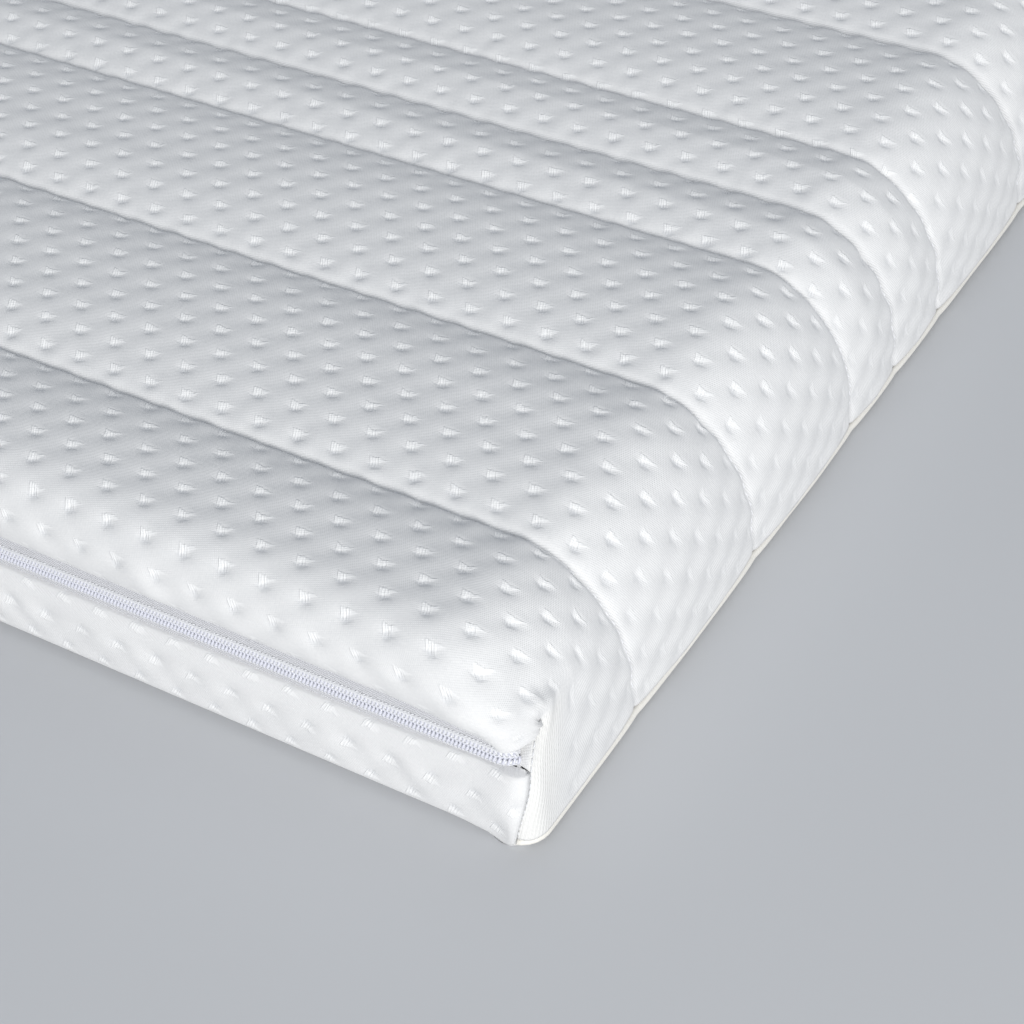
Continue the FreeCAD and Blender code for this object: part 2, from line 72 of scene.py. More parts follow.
# ---- sizes of the cloth
PLAN_RADIUS = 9.0 * MM
FOLD_STEPS = 3
SEAM_DRIFT = 13.0 * MM                # at the floor a corner seam has leaned this far round
LEAN_SLOPE = 0.16                     # going up it leans back, at first by this slope
LEAN_BEND = 4.2                       # and then more steeply, per metre of height
LEAN_SWING = 6.5 * MM                 # beside the zip it swings back by this much more
LEAN_SWING_LOW = 33.0 * MM
LEAN_SWING_HIGH = 50.0 * MM
LEAN_TOP = 48.0 * MM                  # over this height it runs straight up
HEM_RADIUS = 1.0 * MM
UPPER_EDGE_IN = 40.0 * MM
UPPER_EDGE_DOWN = 50.0 * MM
UPPER_END_RADIUS = 23.0 * MM
LOWER_EDGE = 5.0 * MM
DIMPLE_PITCH = 15.87 * MM             # along s, within a row
ROW_PITCH = 10.52 * MM                # along t, rows staggered by half a pitch
QUILT_START = 67.0 * MM
QUILT_FIRST = 84.0 * MM
QUILT_REPEAT = (77.0 * MM, 37.0 * MM, 39.5 * MM, 77.5 * MM)
QUILT_LAST = 60.0 * MM
CHANNEL_SHOULDER = 34.0 * MM          # over this distance a channel rises from its seam
TOP_CHANNEL_DEPTH = 5.8 * MM          # a quilting seam lies this far under the channels' crowns
UNDER_CHANNEL_DEPTH = 2.2 * MM
TOP_LIFT = 1.0 * MM                   # the crowns stand this far over the plain form
SIDE_LIFT = 0.5 * MM
SIDE_CALM = 0.62                      # share of the relief that the upright sides lose
FLAP_CALM = 9.0 * MM                  # a foot flap's relief fades over this way to its rim
SEAM_DIP = 1.1 * MM                   # cloth dips this far into the corner seams
SEAM_DIP_WIDTH = 2.6 * MM
TOP_ROLL_IN = 5.2 * MM                # how far the foot flaps' rims roll in towards the zip
UNDER_ROLL_IN = 4.3 * MM
ROLL_REACH = 20.0 * MM
HEM_CLOSING = 2.8 * MM                # the foot flaps close over the zip by this at its ends
TOP_HEM_DEPTH = 3.6 * MM
UNDER_HEM_DEPTH = 4.2 * MM
HEM_DEEPER = 0.8 * MM
FOLD_STEP = 2.4 * MM                  # one column of cloth turned in past a corner seam
SIDE_FOLD_STEP = 1.5 * MM


# ---- arrays and meshes
def smooth(x):
    """Soft step: 0 below 0, 1 above 1, 3x^2 - 2x^3 between."""
    x = np.clip(x, 0.0, 1.0)
    return x * x * (3.0 - 2.0 * x)


def unit(vectors):
    """Vectors divided by their own length."""
    length = np.linalg.norm(vectors, axis=-1, keepdims=True)
    return vectors / np.maximum(length, 1e-12)


def noise(u, v, seed):
    """Smooth value noise of two coordinates, -1 to 1: random values on a unit lattice,
    joined by soft steps."""
    table = np.random.default_rng(seed).uniform(-1.0, 1.0, (64, 64))
    iu = np.floor(u).astype(int)
    iv = np.floor(v).astype(int)
    fu = smooth(u - iu)
    fv = smooth(v - iv)
    a = table[iu % 64, iv % 64] * (1 - fu) + table[(iu + 1) % 64, iv % 64] * fu
    b = table[iu % 64, (iv + 1) % 64] * (1 - fu) + table[(iu + 1) % 64, (iv + 1) % 64] * fu
    return a * (1 - fv) + b * fv


def grid_faces(index, keep=None):
    """Quads between neighbouring entries of a two-way array of vertex numbers."""
    corners = [index[:-1, :-1], index[1:, :-1], index[1:, 1:], index[:-1, 1:]]
    quads = np.stack(corners, axis=-1)
    return quads[keep] if keep is not None else quads.reshape(-1, 4)


def new_piece(name, points, faces, material, cloth=None, body="mattress"):
    """Smooth-shaded mesh object from arrays; cloth holds (s, t) per vertex for the UV map."""
    mesh = bpy.data.meshes.new(name)
    points = np.asarray(points, dtype=np.float32).reshape(-1, 3)
    faces = np.asarray(faces, dtype=np.int32)
    sides = faces.shape[1]
    mesh.vertices.add(len(points))
    mesh.vertices.foreach_set("co", points.ravel())
    mesh.loops.add(faces.size)
    mesh.loops.foreach_set("vertex_index", faces.ravel())
    mesh.polygons.add(len(faces))
    mesh.polygons.foreach_set("loop_start", np.arange(0, faces.size, sides, dtype=np.int32))
    mesh.update(calc_edges=True)
    mesh.polygons.foreach_set("use_smooth", np.ones(len(faces), dtype=bool))
    if cloth is not None:
        layer = mesh.uv_layers.new(name="cloth")
        per_corner = np.asarray(cloth, dtype=np.float32).reshape(-1, 2)[faces.ravel()]
        layer.data.foreach_set("uv", per_corner.ravel())
    mesh.materials.append(material)
    mesh.validate()
    piece = bpy.data.objects.new(name, mesh)
    bpy.context.scene.collection.objects.link(piece)
    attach(piece, body)
    return piece


def tubes(lines, radius, sides, up):
    """Many tubes at once.  lines[n, k] is point k of tube n; each point carries a ring of
    that radius, square to the line, and the ends are closed by fans round their middles.
    Returns points and triangles."""
    count, steps, _ = lines.shape
    ahead = unit(np.gradient(lines, axis=1))
    across = unit(np.cross(ahead, np.asarray(up, dtype=float)))
    other = np.cross(across, ahead)
    turn = np.arange(sides) * 2 * math.pi / sides
    ring = np.cos(turn)[:, None] * across[:, :, None] + np.sin(turn)[:, None] * other[:, :, None]
    rings = lines[:, :, None] + radius * ring
    points = np.concatenate([rings.reshape(count, -1, 3), lines[:, :1], lines[:, -1:]], axis=1)
    per_tube = points.shape[1]
    i = np.arange(steps - 1)[:, None] * sides
    k = np.arange(sides)[None, :]
    nxt = (k + 1) % sides
    quads = np.stack([i + k, i + nxt, i + sides + nxt, i + sides + k], axis=-1).reshape(-1, 4)
    first, last = steps * sides, steps * sides + 1
    top = (steps - 1) * sides
    k = k.ravel()
    nxt = nxt.ravel()
    start_fan = np.stack([np.full(sides, first), nxt, k], axis=-1)
    end_fan = np.stack([np.full(sides, last), top + k, top + nxt], axis=-1)
    triangles = np.concatenate([quads[:, [0, 1, 2]], quads[:, [0, 2, 3]], start_fan, end_fan])
    faces = (triangles[None] + np.arange(count)[:, None, None] * per_tube).reshape(-1, 3)
    return points.reshape(-1, 3), faces


def place_tubes(name, lines, radius, sides, up, material, replaced=None):
    """A piece made of tubes, in place of a CAD node if one is named."""
    points, faces = tubes(lines, radius, sides, up)
    piece = new_piece(name, points, faces, material)
    if replaced:
        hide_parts(replaced)


# ---- the cloth's layout
def quilt_lines():
    """Places of the quilting seams along Y, from the foot end to the head end."""
    lines = [-HALF_Y + QUILT_START]
    place = lines[0] + QUILT_FIRST
    step = 0
    while place < HALF_Y - QUILT_LAST:
        lines.append(place)
        place += QUILT_REPEAT[step % len(QUILT_REPEAT)]
        step += 1
    return np.array(lines)


LINES = quilt_lines()


def ruler(start, stop, step, fixed=()):
    """Places from start to stop on multiples of step, with start, stop and each fixed
    place taken exactly by moving the nearest multiple there."""
    marks = np.arange(math.ceil(start / step), math.floor(stop / step) + 1) * step
    kept = (marks > start + step / 2) & (marks < stop - step / 2)
    marks = np.concatenate([[start], marks[kept], [stop]])
    for place in fixed:
        if start < place < stop:
            marks[np.argmin(np.abs(marks - place))] = place
    return marks


def edge_profile(edge_in, edge_down, hem):
    """Half section of a panel from the middle of the width to its side hem: flat, a
    quarter ellipse, then a straight wall.  Returns arc length, x and z."""
    low = HEIGHT - edge_down
    last = math.pi / 2 if hem <= low else math.acos((hem - low) / edge_down)
    angle = np.linspace(0.0, last, 200)
    x = np.concatenate([[0.0], HALF_X - edge_in + edge_in * np.sin(angle)])
    z = np.concatenate([[HEIGHT], low + edge_down * np.cos(angle)])
    if hem < low:
        x = np.append(x, HALF_X)
        z = np.append(z, hem)
    arc = np.concatenate([[0.0], np.cumsum(np.hypot(np.diff(x), np.diff(z)))])
    return arc, x, z


def end_profile(radius, hem):
    """Lengthwise section past the corner seam's line: an arc down to the end face, then a
    straight drop to the hem.  Returns arc length, y (as a distance from the middle) and z."""
    first = math.asin(max(SEAM_Y - (HALF_Y - radius), 0.0) / radius)
    angle = np.linspace(first, math.pi / 2, 100)
    y = np.append(HALF_Y - radius + radius * np.sin(angle), HALF_Y)
    z = np.append(HEIGHT - radius + radius * np.cos(angle), hem)
    arc = np.concatenate([[0.0], np.cumsum(np.hypot(np.diff(y), np.diff(z)))])
    return arc, y, z


def seam_drift(height):
    """How far round the corner a corner seam has leaned at a height over the floor: a
    parabola that falls with the height, less a soft step beside the zip."""
    rise = np.clip(height, 0.0, LEAN_TOP)
    swing = LEAN_SWING * smooth((rise - LEAN_SWING_LOW) / (LEAN_SWING_HIGH - LEAN_SWING_LOW))
    return SEAM_DRIFT - LEAN_SLOPE * rise - LEAN_BEND * rise**2 - swing


def round_corner(way):
    """Plan outline beside an end, for a way along the long side and on round the corner.
    Returns the distance from the middle and how far the side has come in."""
    angle = np.clip((way - (HALF_Y - PLAN_RADIUS)) / PLAN_RADIUS, 0.0, math.pi / 2)
    place = np.minimum(way, HALF_Y - PLAN_RADIUS) + PLAN_RADIUS * np.sin(angle)
    return place, PLAN_RADIUS * (1.0 - np.cos(angle))


def plan_path(half_width, drift):
    """Half of the plan outline of an end, from its middle round the corner to the corner
    seam, which has leaned by drift.  Returns arc length, x and y (from the middle)."""
    last = math.pi / 2 - (SEAM_Y + drift - (HALF_Y - PLAN_RADIUS)) / PLAN_RADIUS
    angle = np.linspace(0.0, last, 60)
    x = np.concatenate([[0.0], half_width - PLAN_RADIUS + PLAN_RADIUS * np.sin(angle)])
    y = np.concatenate([[HALF_Y], HALF_Y - PLAN_RADIUS + PLAN_RADIUS * np.cos(angle)])
    arc = np.concatenate([[0.0], np.cumsum(np.hypot(np.diff(x), np.diff(y)))])
    return arc, x, y


class Layout:
    """One panel of the cover as a grid of points.

    s and t are the grid's two rulers; points[i, j] is where the cloth lies at (s[i], t[j]).
    Rows t beyond the corner seams form the two end flaps, which exist only between the
    columns of the corner seams; columns beyond them form the long sides.
    """

    def __init__(self, edge, end_radius, side_hem, foot_hem, head_hem, seam_height, columns, rows,
                 flip=False):
        self.flip = flip
        self.edge = edge
        self.profile = edge_profile(edge[0], edge[1], side_hem)
        arc, _, z = self.profile
        self.half_s = arc[-1]
        self.seam_s = float(np.interp(-seam_height, -z, arc))
        self.foot = end_profile(end_radius, foot_hem)
        self.head = end_profile(end_radius, head_hem)
        self.end_radius = end_radius
        self.hems = {-1: foot_hem, 1: head_hem}
        self.s = columns(self)
        self.t = rows(self)
        self.inner = np.abs(self.s) <= self.seam_s + 1e-9
        self.middle = np.abs(self.t) <= SEAM_Y + 1e-9
        self.points = self.lay()

    def end_drop(self, y):
        """How far the flat face has dropped at y, on the ends' rounded edges."""
        into = np.maximum(np.abs(y) - (HALF_Y - self.end_radius), 0.0)
        return self.end_radius - np.sqrt(self.end_radius ** 2 - np.minimum(into, self.end_radius) ** 2)

    def lay(self):
        """Sections of the long profile, each lowered and narrowed with y, then the flaps."""
        arc, px, pz = self.profile
        hem = pz[-1]
        reach = np.abs(self.s)
        x = np.interp(reach, arc, px)
        z = np.interp(reach, arc, pz)
        share = (z - hem) / (HEIGHT - hem)
        floor_side = HEIGHT - z if self.flip else z
        drift = seam_drift(floor_side)
        drift = drift * smooth((reach - self.seam_s + 35 * MM) / (35 * MM))
        near_end = smooth((np.abs(self.t) - SEAM_Y + 50 * MM) / (50 * MM))
        place, pull = round_corner(np.abs(self.t)[None, :] + drift[:, None] * near_end[None, :])
        points = np.full((len(self.s), len(self.t), 3), np.nan)
        width = 1.0 - pull / HALF_X
        points[:, :, 0] = np.sign(self.s)[:, None] * x[:, None] * width
        points[:, :, 1] = np.sign(self.t)[None, :] * place
        points[:, :, 2] = z[:, None] - share[:, None] * self.end_drop(self.t)[None, :]
        for end, profile in ((-1, self.foot), (1, self.head)):
            rows = np.nonzero(self.t * end > SEAM_Y + 1e-9)[0]
            last = np.nonzero(np.isclose(self.t, end * SEAM_Y))[0][0]
            self.lay_flap(points, end, profile, rows, last)
        outside = ~self.inner[:, None] & ~self.middle[None, :]
        points[outside] = np.nan
        return points

    def lay_flap(self, points, end, profile, rows, last):
        """A flap leaves the seam's row and ends on the plan outline at its hem; in between,
        it follows the end's section."""
        arc, fy, fz = profile
        beyond = np.abs(self.t[rows]) - SEAM_Y
        y = np.interp(beyond, arc, fy)
        z = np.interp(beyond, arc, fz)
        out = (y - fy[0]) / (fy[-1] - fy[0])
        down = (fz[0] - z) / (fz[0] - fz[-1])
        start = points[:, last]
        hem = self.hems[end]
        low = HEIGHT - self.edge[1]
        lift = np.clip((hem - low) / self.edge[1], 0.0, 1.0)
        half = HALF_X - self.edge[0] * (1.0 - math.sqrt(1.0 - lift ** 2))
        path, ox, oy = plan_path(half, float(seam_drift(HEIGHT - hem if self.flip else hem)))
        spare = path[-1] - self.seam_s
        reach = np.abs(self.s)
        along = reach + spare * smooth((reach - self.seam_s + 70 * MM) / (70 * MM))
        stop = np.empty_like(start)
        stop[:, 0] = np.sign(self.s) * np.interp(along, path, ox)
        stop[:, 1] = end * np.interp(along, path, oy)
        stop[:, 2] = hem
        if end < 0:
            stop[:, 2] -= HEM_CLOSING * smooth((reach - self.seam_s + 60 * MM) / (55 * MM))
        mix = np.stack([out, out, down], axis=-1)
        points[:, rows] = start[:, None] + (stop - start)[:, None] * mix[None]


def normals_of(layout, points):
    """Unit normals from the differences between neighbours, taken separately over the
    wide block between the corner seams and the tall block that holds the flaps."""
    result = np.full_like(points, np.nan)
    middle = np.nonzero(layout.middle)[0]
    inner = np.nonzero(layout.inner)[0]
    for block in (
        np.ix_(np.arange(len(layout.s)), middle),
        np.ix_(inner, np.arange(len(layout.t))),
    ):
        part = points[block]
        across = np.gradient(part, axis=0)
        along = np.gradient(part, axis=1)
        result[block] = unit(np.cross(across, along))
    return result


def relax_corners(layout, points, reach, rounds):
    """Rounds off the four soft upper corners: each point near a corner moves towards the
    mean of its four neighbours, again and again, while the flap's rim stays."""
    inner = np.nonzero(layout.inner)[0]
    for end in (-1, 1):
        rows = np.nonzero(layout.t * end > SEAM_Y - 2 * reach)[0]
        for side in (-1, 1):
            columns = inner[layout.s[inner] * side > layout.seam_s - 2 * reach]
            block = np.ix_(columns, rows)
            part = points[block].copy()
            ds = (layout.seam_s - side * layout.s[columns])[:, None]
            dt = (SEAM_Y - end * layout.t[rows])[None, :]
            near = np.exp(-(ds ** 2 + dt ** 2) / reach ** 2)
            near[ds[:, 0] < 1e-6, :] = 0.0
            near[0, :] = near[-1, :] = 0.0
            near[:, 0] = near[:, -1] = 0.0
            for _ in range(rounds):
                mean = (part[2:, 1:-1] + part[:-2, 1:-1] + part[1:-1, 2:] + part[1:-1, :-2]) / 4
                part[1:-1, 1:-1] += near[1:-1, 1:-1, None] * (mean - part[1:-1, 1:-1])
            points[block] = part


# ---- relief of the quilted knit
def seam_distance(t):
    """Distance along the length to the nearest quilting seam, and that seam's number."""
    gaps = np.abs(t[:, None] - LINES[None, :])
    return gaps.min(axis=1), gaps.argmin(axis=1)


def quilting(s, t, depth):
    """Crowned channels: from each seam the cloth rises by half a quarter ellipse and half a
    parabola, with small puckers that fade away from the seam and a sharp groove at the
    thread."""
    gap, line = seam_distance(t)
    short = 1.0 - np.minimum(gap / CHANNEL_SHOULDER, 1.0)
    rise = 0.5 * np.sqrt(1.0 - short ** 2) + 0.5 * (1.0 - short ** 2)
    crown = depth * (rise - 1.0)
    waves = np.zeros((len(s), len(t)))
    for number, length in enumerate((9.1 * MM, 13.9 * MM, 21.7 * MM)):
        shift = np.random.default_rng(100 + number).uniform(0, 2 * math.pi, len(LINES))
        waves += np.sin(2 * math.pi * s[:, None] / length + shift[line][None, :]) / 3
    pucker = 0.5 * MM * waves * (np.exp(-gap / (8 * MM)) * np.minimum(gap / (3 * MM), 1.0))[None, :]
    groove = -0.8 * MM * np.exp(-(gap / (1.3 * MM)) ** 2)
    loose = 0.5 * MM * noise(s[:, None] / (60 * MM), t[None, :] / (23 * MM), 3)
    return crown[None, :] + groove[None, :] + pucker + loose * rise[None, :]


def dimples(s, t):
    """Staggered lattice of small pits with soft mounds between them: the mounds are a
    product of cosines, each pit a narrow bell."""
    u = s[:, None] / DIMPLE_PITCH
    v = t[None, :] / (2 * ROW_PITCH)
    mounds = -np.cos(2 * math.pi * u) * np.cos(2 * math.pi * v)
    pits = np.zeros_like(mounds)
    for shift in (0.0, 0.5):
        x = ((u + shift) - np.round(u + shift)) * DIMPLE_PITCH
        y = ((v + shift) - np.round(v + shift)) * 2 * ROW_PITCH
        pits -= 0.90 * MM * bell(x - 0.3 * MM, 2.9 * MM) * bell(y + 1.0 * MM, 2.0 * MM)
        pits += 0.38 * MM * bell(x - 1.6 * MM, 3.4 * MM) * bell(y - 1.7 * MM, 1.4 * MM)
    clear = smooth(seam_distance(t)[0] / (3 * MM))
    return 0.26 * MM * mounds + pits * clear[None, :], 0.62 * MM * mounds


def bell(x, width):
    """exp(-(x / width)^2)."""
    return np.exp(-(x / width) ** 2)


def seam_roll(distance, depth=SEAM_DIP, width=SEAM_DIP_WIDTH):
    """Cloth that dips into a seam: depth at the seam itself, a bell of that width."""
    return -depth * np.exp(-(distance / width) ** 2)


def upper_relief(layout):
    """How far each point of the top panel is pushed out along its normal: the channels and
    the dimples, weaker on the upright sides; loose puckers on the flaps; dips along the
    corner seams and beside the zip's ends; the roll towards the zip and the tucks."""
    s, t = layout.s, layout.t
    relief = quilting(s, t, TOP_CHANNEL_DEPTH) + TOP_LIFT
    wall = smooth((np.abs(s) - layout.half_s + 70 * MM) / (60 * MM))[:, None]
    relief *= 1.0 - SIDE_CALM * wall
    relief += SIDE_LIFT * wall
    facing_up, upright = dimples(s, t)
    stretched = smooth((np.abs(s)[:, None] - layout.seam_s + 6 * MM) / (6 * MM))
    stretched = stretched * smooth((np.abs(t)[None, :] - SEAM_Y + 24 * MM) / (8 * MM))
    relief += (facing_up * (1.0 - wall) + upright * wall) * (1.0 - stretched)
    beyond = np.maximum(np.abs(t) - SEAM_Y, 0.0)[None, :]
    flap = np.minimum(beyond / (12 * MM), 1.0)
    relief += flap * 0.7 * MM * noise(
        (s[:, None] + 1.2 * t[None, :]) / (17 * MM), (t[None, :] - 0.6 * s[:, None]) / (34 * MM), 11)
    relief += flap * 0.5 * MM * noise(s[:, None] / (9 * MM), t[None, :] / (21 * MM), 12)
    side = np.abs(s)[:, None] - layout.seam_s
    to_end = SEAM_Y - np.abs(t)[None, :]
    on_side = side > -1e-9
    relief += np.where(on_side, seam_roll(np.maximum(to_end, 0.0)), 0.0)
    beside_zip = bell(layout.points[:, :, 2] - ZIP_Z, 11 * MM) * smooth((14 * MM - to_end) / (14 * MM))
    relief -= np.where(on_side & (t < 0.0)[None, :], 0.8 * MM * np.nan_to_num(beside_zip), 0.0)
    on_flap = beyond > 1e-9
    relief += np.where(on_flap, seam_roll(np.abs(side)), 0.0)
    apart = np.hypot(side, np.abs(t)[None, :] - SEAM_Y)
    relief += np.where(~on_side & ~on_flap, seam_roll(apart), 0.0)
    rim = layout.foot[0][-1] - beyond
    calm = np.where(t < -SEAM_Y, smooth(rim / FLAP_CALM), 1.0)
    relief = relief * calm - zip_roll(layout, rim, TOP_ROLL_IN)
    relief += gathers(side, np.abs(t)[None, :] - SEAM_Y)
    return relief


def zip_roll(layout, rim, depth):
    """How far a foot flap rolls in towards the zip: a quarter round over its last part,
    which fades out at the corner seams."""
    share = np.clip(rim / ROLL_REACH, 0.0, 1.0)
    roll = depth * (1.0 - np.sqrt(1.0 - (1.0 - share) ** 2))
    corner = smooth((np.abs(layout.s)[:, None] - layout.seam_s + 22 * MM) / (20 * MM))
    return np.where(layout.t[None, :] < -SEAM_Y, roll * (1.0 - 0.65 * corner), 0.0)


def gathers(side, end):
    """The tuck over each corner seam: a ridge that crosses the top of the seam and droops
    at both ends, a bell across and a wider bell along, notched where the seam starts."""
    along = end - side
    level = np.maximum(side, end) + 1.2 * MM - 3.4 * MM * (along / (9 * MM)) ** 2
    ridge = 3.4 * MM * bell(level, 2.3 * MM) * bell(along - 1.0 * MM, 10 * MM)
    under = -1.1 * MM * bell(level - 4.2 * MM, 2.2 * MM) * bell(along, 9 * MM)
    return ridge + under


def lower_relief(layout):
    """The underside lies flat, quilted shallowly; its flaps are padded and puckered."""
    s, t = layout.s, layout.t
    beyond = np.maximum(np.abs(t) - SEAM_Y, 0.0)[None, :]
    flap = smooth((beyond - 6 * MM) / (8 * MM))
    pattern, _ = dimples(s, t)
    border = 12 * MM
    inside = smooth((layout.seam_s - np.abs(s)[:, None]) / border)
    inside = inside * smooth((SEAM_Y - np.abs(t)[None, :]) / border)
    flat = np.minimum(quilting(s, t, UNDER_CHANNEL_DEPTH) + pattern - 0.2 * MM, -0.1 * MM) * inside
    lumps = 0.8 * MM * noise(s[:, None] / (23 * MM), t[None, :] / (15 * MM), 21)
    lumps = lumps + 0.5 * MM * noise((s[:, None] - t[None, :]) / (8 * MM), t[None, :] / (16 * MM), 22)
    rim = layout.foot[0][-1] - beyond
    calm = np.where(t < -SEAM_Y, smooth(rim / FLAP_CALM), 1.0)
    relief = flat * (1 - flap) + flap * calm * (lumps + pattern + 0.3 * MM)
    side = np.abs(np.abs(s)[:, None] - layout.seam_s)
    relief += np.where(beyond > 1e-9, seam_roll(side, 1.2 * MM, 2.2 * MM), 0.0)
    return relief - zip_roll(layout, rim, UNDER_ROLL_IN)


# ---- hems
def turned_in(edge, outward, down, radius, depth):
    """Cloth folded inward past an edge: a quarter circle of that radius, then straight in
    to that depth.  Returns one line of points per step."""
    steps = []
    for angle in np.radians((30.0, 60.0, 90.0)):
        steps.append(edge - outward * radius * (1 - math.cos(angle)) + down * radius * math.sin(angle))
    steps.append(edge - outward * depth + down * radius)
    return steps


def flat_outward(edge):
    """Level outward direction along a line of points that runs round an end."""
    ahead = np.gradient(edge, axis=0)
    out = np.stack([ahead[:, 1], -ahead[:, 0], np.zeros(len(edge))], axis=-1)
    out = unit(out)
    facing = np.sign(np.sum(out[:, :2] * edge[:, :2], axis=1).mean())
    return out * facing


def side_fold(edge, side):
    """Columns of cloth turned straight in past a side hem."""
    inward = np.array([-side * SIDE_FOLD_STEP, 0.0, 0.0])
    return np.stack([edge + inward * step for step in range(1, FOLD_STEPS + 1)])


def side_edges(layout, points):
    """The last row of each long side at each end, from its lowest point to the top of the
    corner seam."""
    edges = {}
    for end in (-1, 1):
        last = np.nonzero(np.isclose(layout.t, end * SEAM_Y))[0][0]
        for side in (-1, 1):
            line = points[layout.s * side >= layout.seam_s - 1e-9, last]
            edges[end, side] = line[np.argsort(line[:, 2])]
    return edges


def sew_flaps(layout, points, edges):
    """Brings each flap's side edge onto the long side's edge at the same height; the cloth
    beside it follows, by a bell of the distance."""
    for (end, side), line in edges.items():
        rows = np.nonzero(layout.t * end > SEAM_Y + 1e-9)[0]
        column = np.argmin(np.abs(layout.s - side * layout.seam_s))
        edge = points[column, rows]
        height = HEIGHT - edge[:, 2] if layout.flip else edge[:, 2]
        wanted = edge.copy()
        wanted[:, 0] = np.interp(height, line[:, 2], line[:, 0])
        wanted[:, 1] = np.interp(height, line[:, 2], line[:, 1])
        near = np.nonzero(layout.inner & (layout.s * side > 0.0))[0]
        share = bell(layout.seam_s - layout.s[near] * side, 7 * MM)
        points[np.ix_(near, rows)] += share[:, None, None] * (wanted - edge)[None]


def fold_side_ends(layout, points, outward):
    """Past the corner seams, the long sides are turned straight in behind the end flaps."""
    outer = np.nonzero(np.abs(layout.s) > layout.seam_s + 1e-9)[0]
    for end in (-1, 1):
        last = np.nonzero(np.isclose(layout.t, end * SEAM_Y))[0][0]
        for step in range(1, FOLD_STEPS + 1):
            inward = -outward[outer, last] * np.array([1.0, 1.0, 0.0]) * step * FOLD_STEP
            points[outer, last + end * step] = points[outer, last] + inward


def panel(name, layout, relief, material, hem_depth, edges=None):
    """A panel of the cover: its grid, pushed along its normals, sewn up at the corner seams
    (to the given edges, or its own), with the end hems and the side hems turned in.  A
    flipped layout is turned upside down, for the underside."""
    points = layout.points.copy()
    flip = layout.flip
    if not flip:
        relax_corners(layout, points, 26 * MM, 60)
    outward = normals_of(layout, points)
    points += outward * relief(layout)[:, :, None]
    if edges is None:
        edges = side_edges(layout, points)
    sew_flaps(layout, points, edges)
    inner = np.nonzero(layout.inner)[0]
    down = np.array([0.0, 0.0, -1.0])
    columns = len(layout.s)
    blank = np.full((columns, 4, 3), np.nan)
    foot = blank.copy()
    head = blank.copy()
    for rows, place in ((foot, 0), (head, -1)):
        edge = points[inner, place]
        plain = layout.points[inner, place]
        deeper = HEM_DEEPER * smooth((np.abs(layout.s[inner]) - layout.seam_s + 16 * MM) / (12 * MM))
        depth = (hem_depth + deeper)[:, None]
        for k, line in enumerate(turned_in(edge, flat_outward(plain), down, HEM_RADIUS, depth)):
            rows[inner, k] = line
    fold_side_ends(layout, points, outward)
    points = np.concatenate([foot[:, ::-1], points, head], axis=1)
    points = np.concatenate([side_fold(points[0], -1)[::-1], points, side_fold(points[-1], 1)])
    t = np.concatenate([
        layout.t[0] - np.arange(4, 0, -1) * MM, layout.t, layout.t[-1] + np.arange(1, 5) * MM])
    s = np.concatenate([
        layout.s[0] - np.arange(FOLD_STEPS, 0, -1) * MM, layout.s,
        layout.s[-1] + np.arange(1, FOLD_STEPS + 1) * MM])
    if flip:
        points[:, :, 2] = HEIGHT - points[:, :, 2]
        points[:, :, 2] = np.maximum(points[:, :, 2], 0.0)
    used = ~np.isnan(points[:, :, 0])
    index = np.full(used.shape, -1)
    index[used] = np.arange(used.sum())
    whole = used[:-1, :-1] & used[1:, :-1] & used[1:, 1:] & used[:-1, 1:]
    faces = grid_faces(index, whole)
    if flip:
        faces = faces[:, ::-1]
    cloth = np.stack(np.broadcast_arrays(s[:, None], t[None, :]), axis=-1)[used]
    piece = new_piece(name, points[used], faces, material, cloth)
    return piece, points[FOLD_STEPS:-FOLD_STEPS, 4:-4], edges


# ---- shader node groups
class Nodes:
    """Short hand for building a node tree: adds nodes, joins sockets and does sums."""

    def __init__(self, tree):
        self.tree = tree

    def add(self, kind, **settings):
        node = self.tree.nodes.new(kind)
        for key, value in settings.items():
            setattr(node, key, value)
        return node

    def join(self, source, target):
        self.tree.links.new(source, target)

    def put(self, node, **values):
        """Sets a node's sockets; an underscore in a label stands for a space."""
        for label, value in values.items():
            self.feed(node.inputs[label.replace("_", " ")], value)
        return node

    def feed(self, socket, value):
        """Links a socket, or sets a plain number."""
        if isinstance(value, bpy.types.NodeSocket):
            self.join(value, socket)
        else:
            socket.default_value = value

    def math(self, operation, *values):
        node = self.add("ShaderNodeMath", operation=operation)
        for socket, value in zip(node.inputs, values):
            self.feed(socket, value)
        return node.outputs[0]

    def times(self, first, second):
        return self.math("MULTIPLY", first, second)

    def plus(self, first, second):
        return self.math("ADD", first, second)

    def minus(self, first, second):
        return self.math("SUBTRACT", first, second)

    def over(self, first, second):
        return self.math("DIVIDE", first, second)

    def band(self, value, low, high):
        """0 below low, 1 above high, soft between; low above high turns it round."""
        node = self.add("ShaderNodeMapRange", interpolation_type="SMOOTHSTEP")
        rising = float(low < high)
        self.put(node, Value=value, From_Min=min(low, high), From_Max=max(low, high),
                 To_Min=1.0 - rising, To_Max=rising)
        return node.outputs[0]

    def noise(self, vector, scale, detail=2.0, roughness=0.5):
        node = self.add("ShaderNodeTexNoise")
        return self.put(node, Vector=vector, Scale=scale, Detail=detail, Roughness=roughness).outputs[0]

    def mix(self, share, first, second):
        """Colour between first and second."""
        node = self.add("ShaderNodeMix", data_type="RGBA")
        self.feed(node.inputs[0], share)
        for socket, value in ((node.inputs[6], first), (node.inputs[7], second)):
            self.feed(socket, value)
        return node.outputs[2]

    def bump(self, height, distance):
        node = self.add("ShaderNodeBump")
        return self.put(node, Height=height, Distance=distance, Strength=1.0).outputs["Normal"]


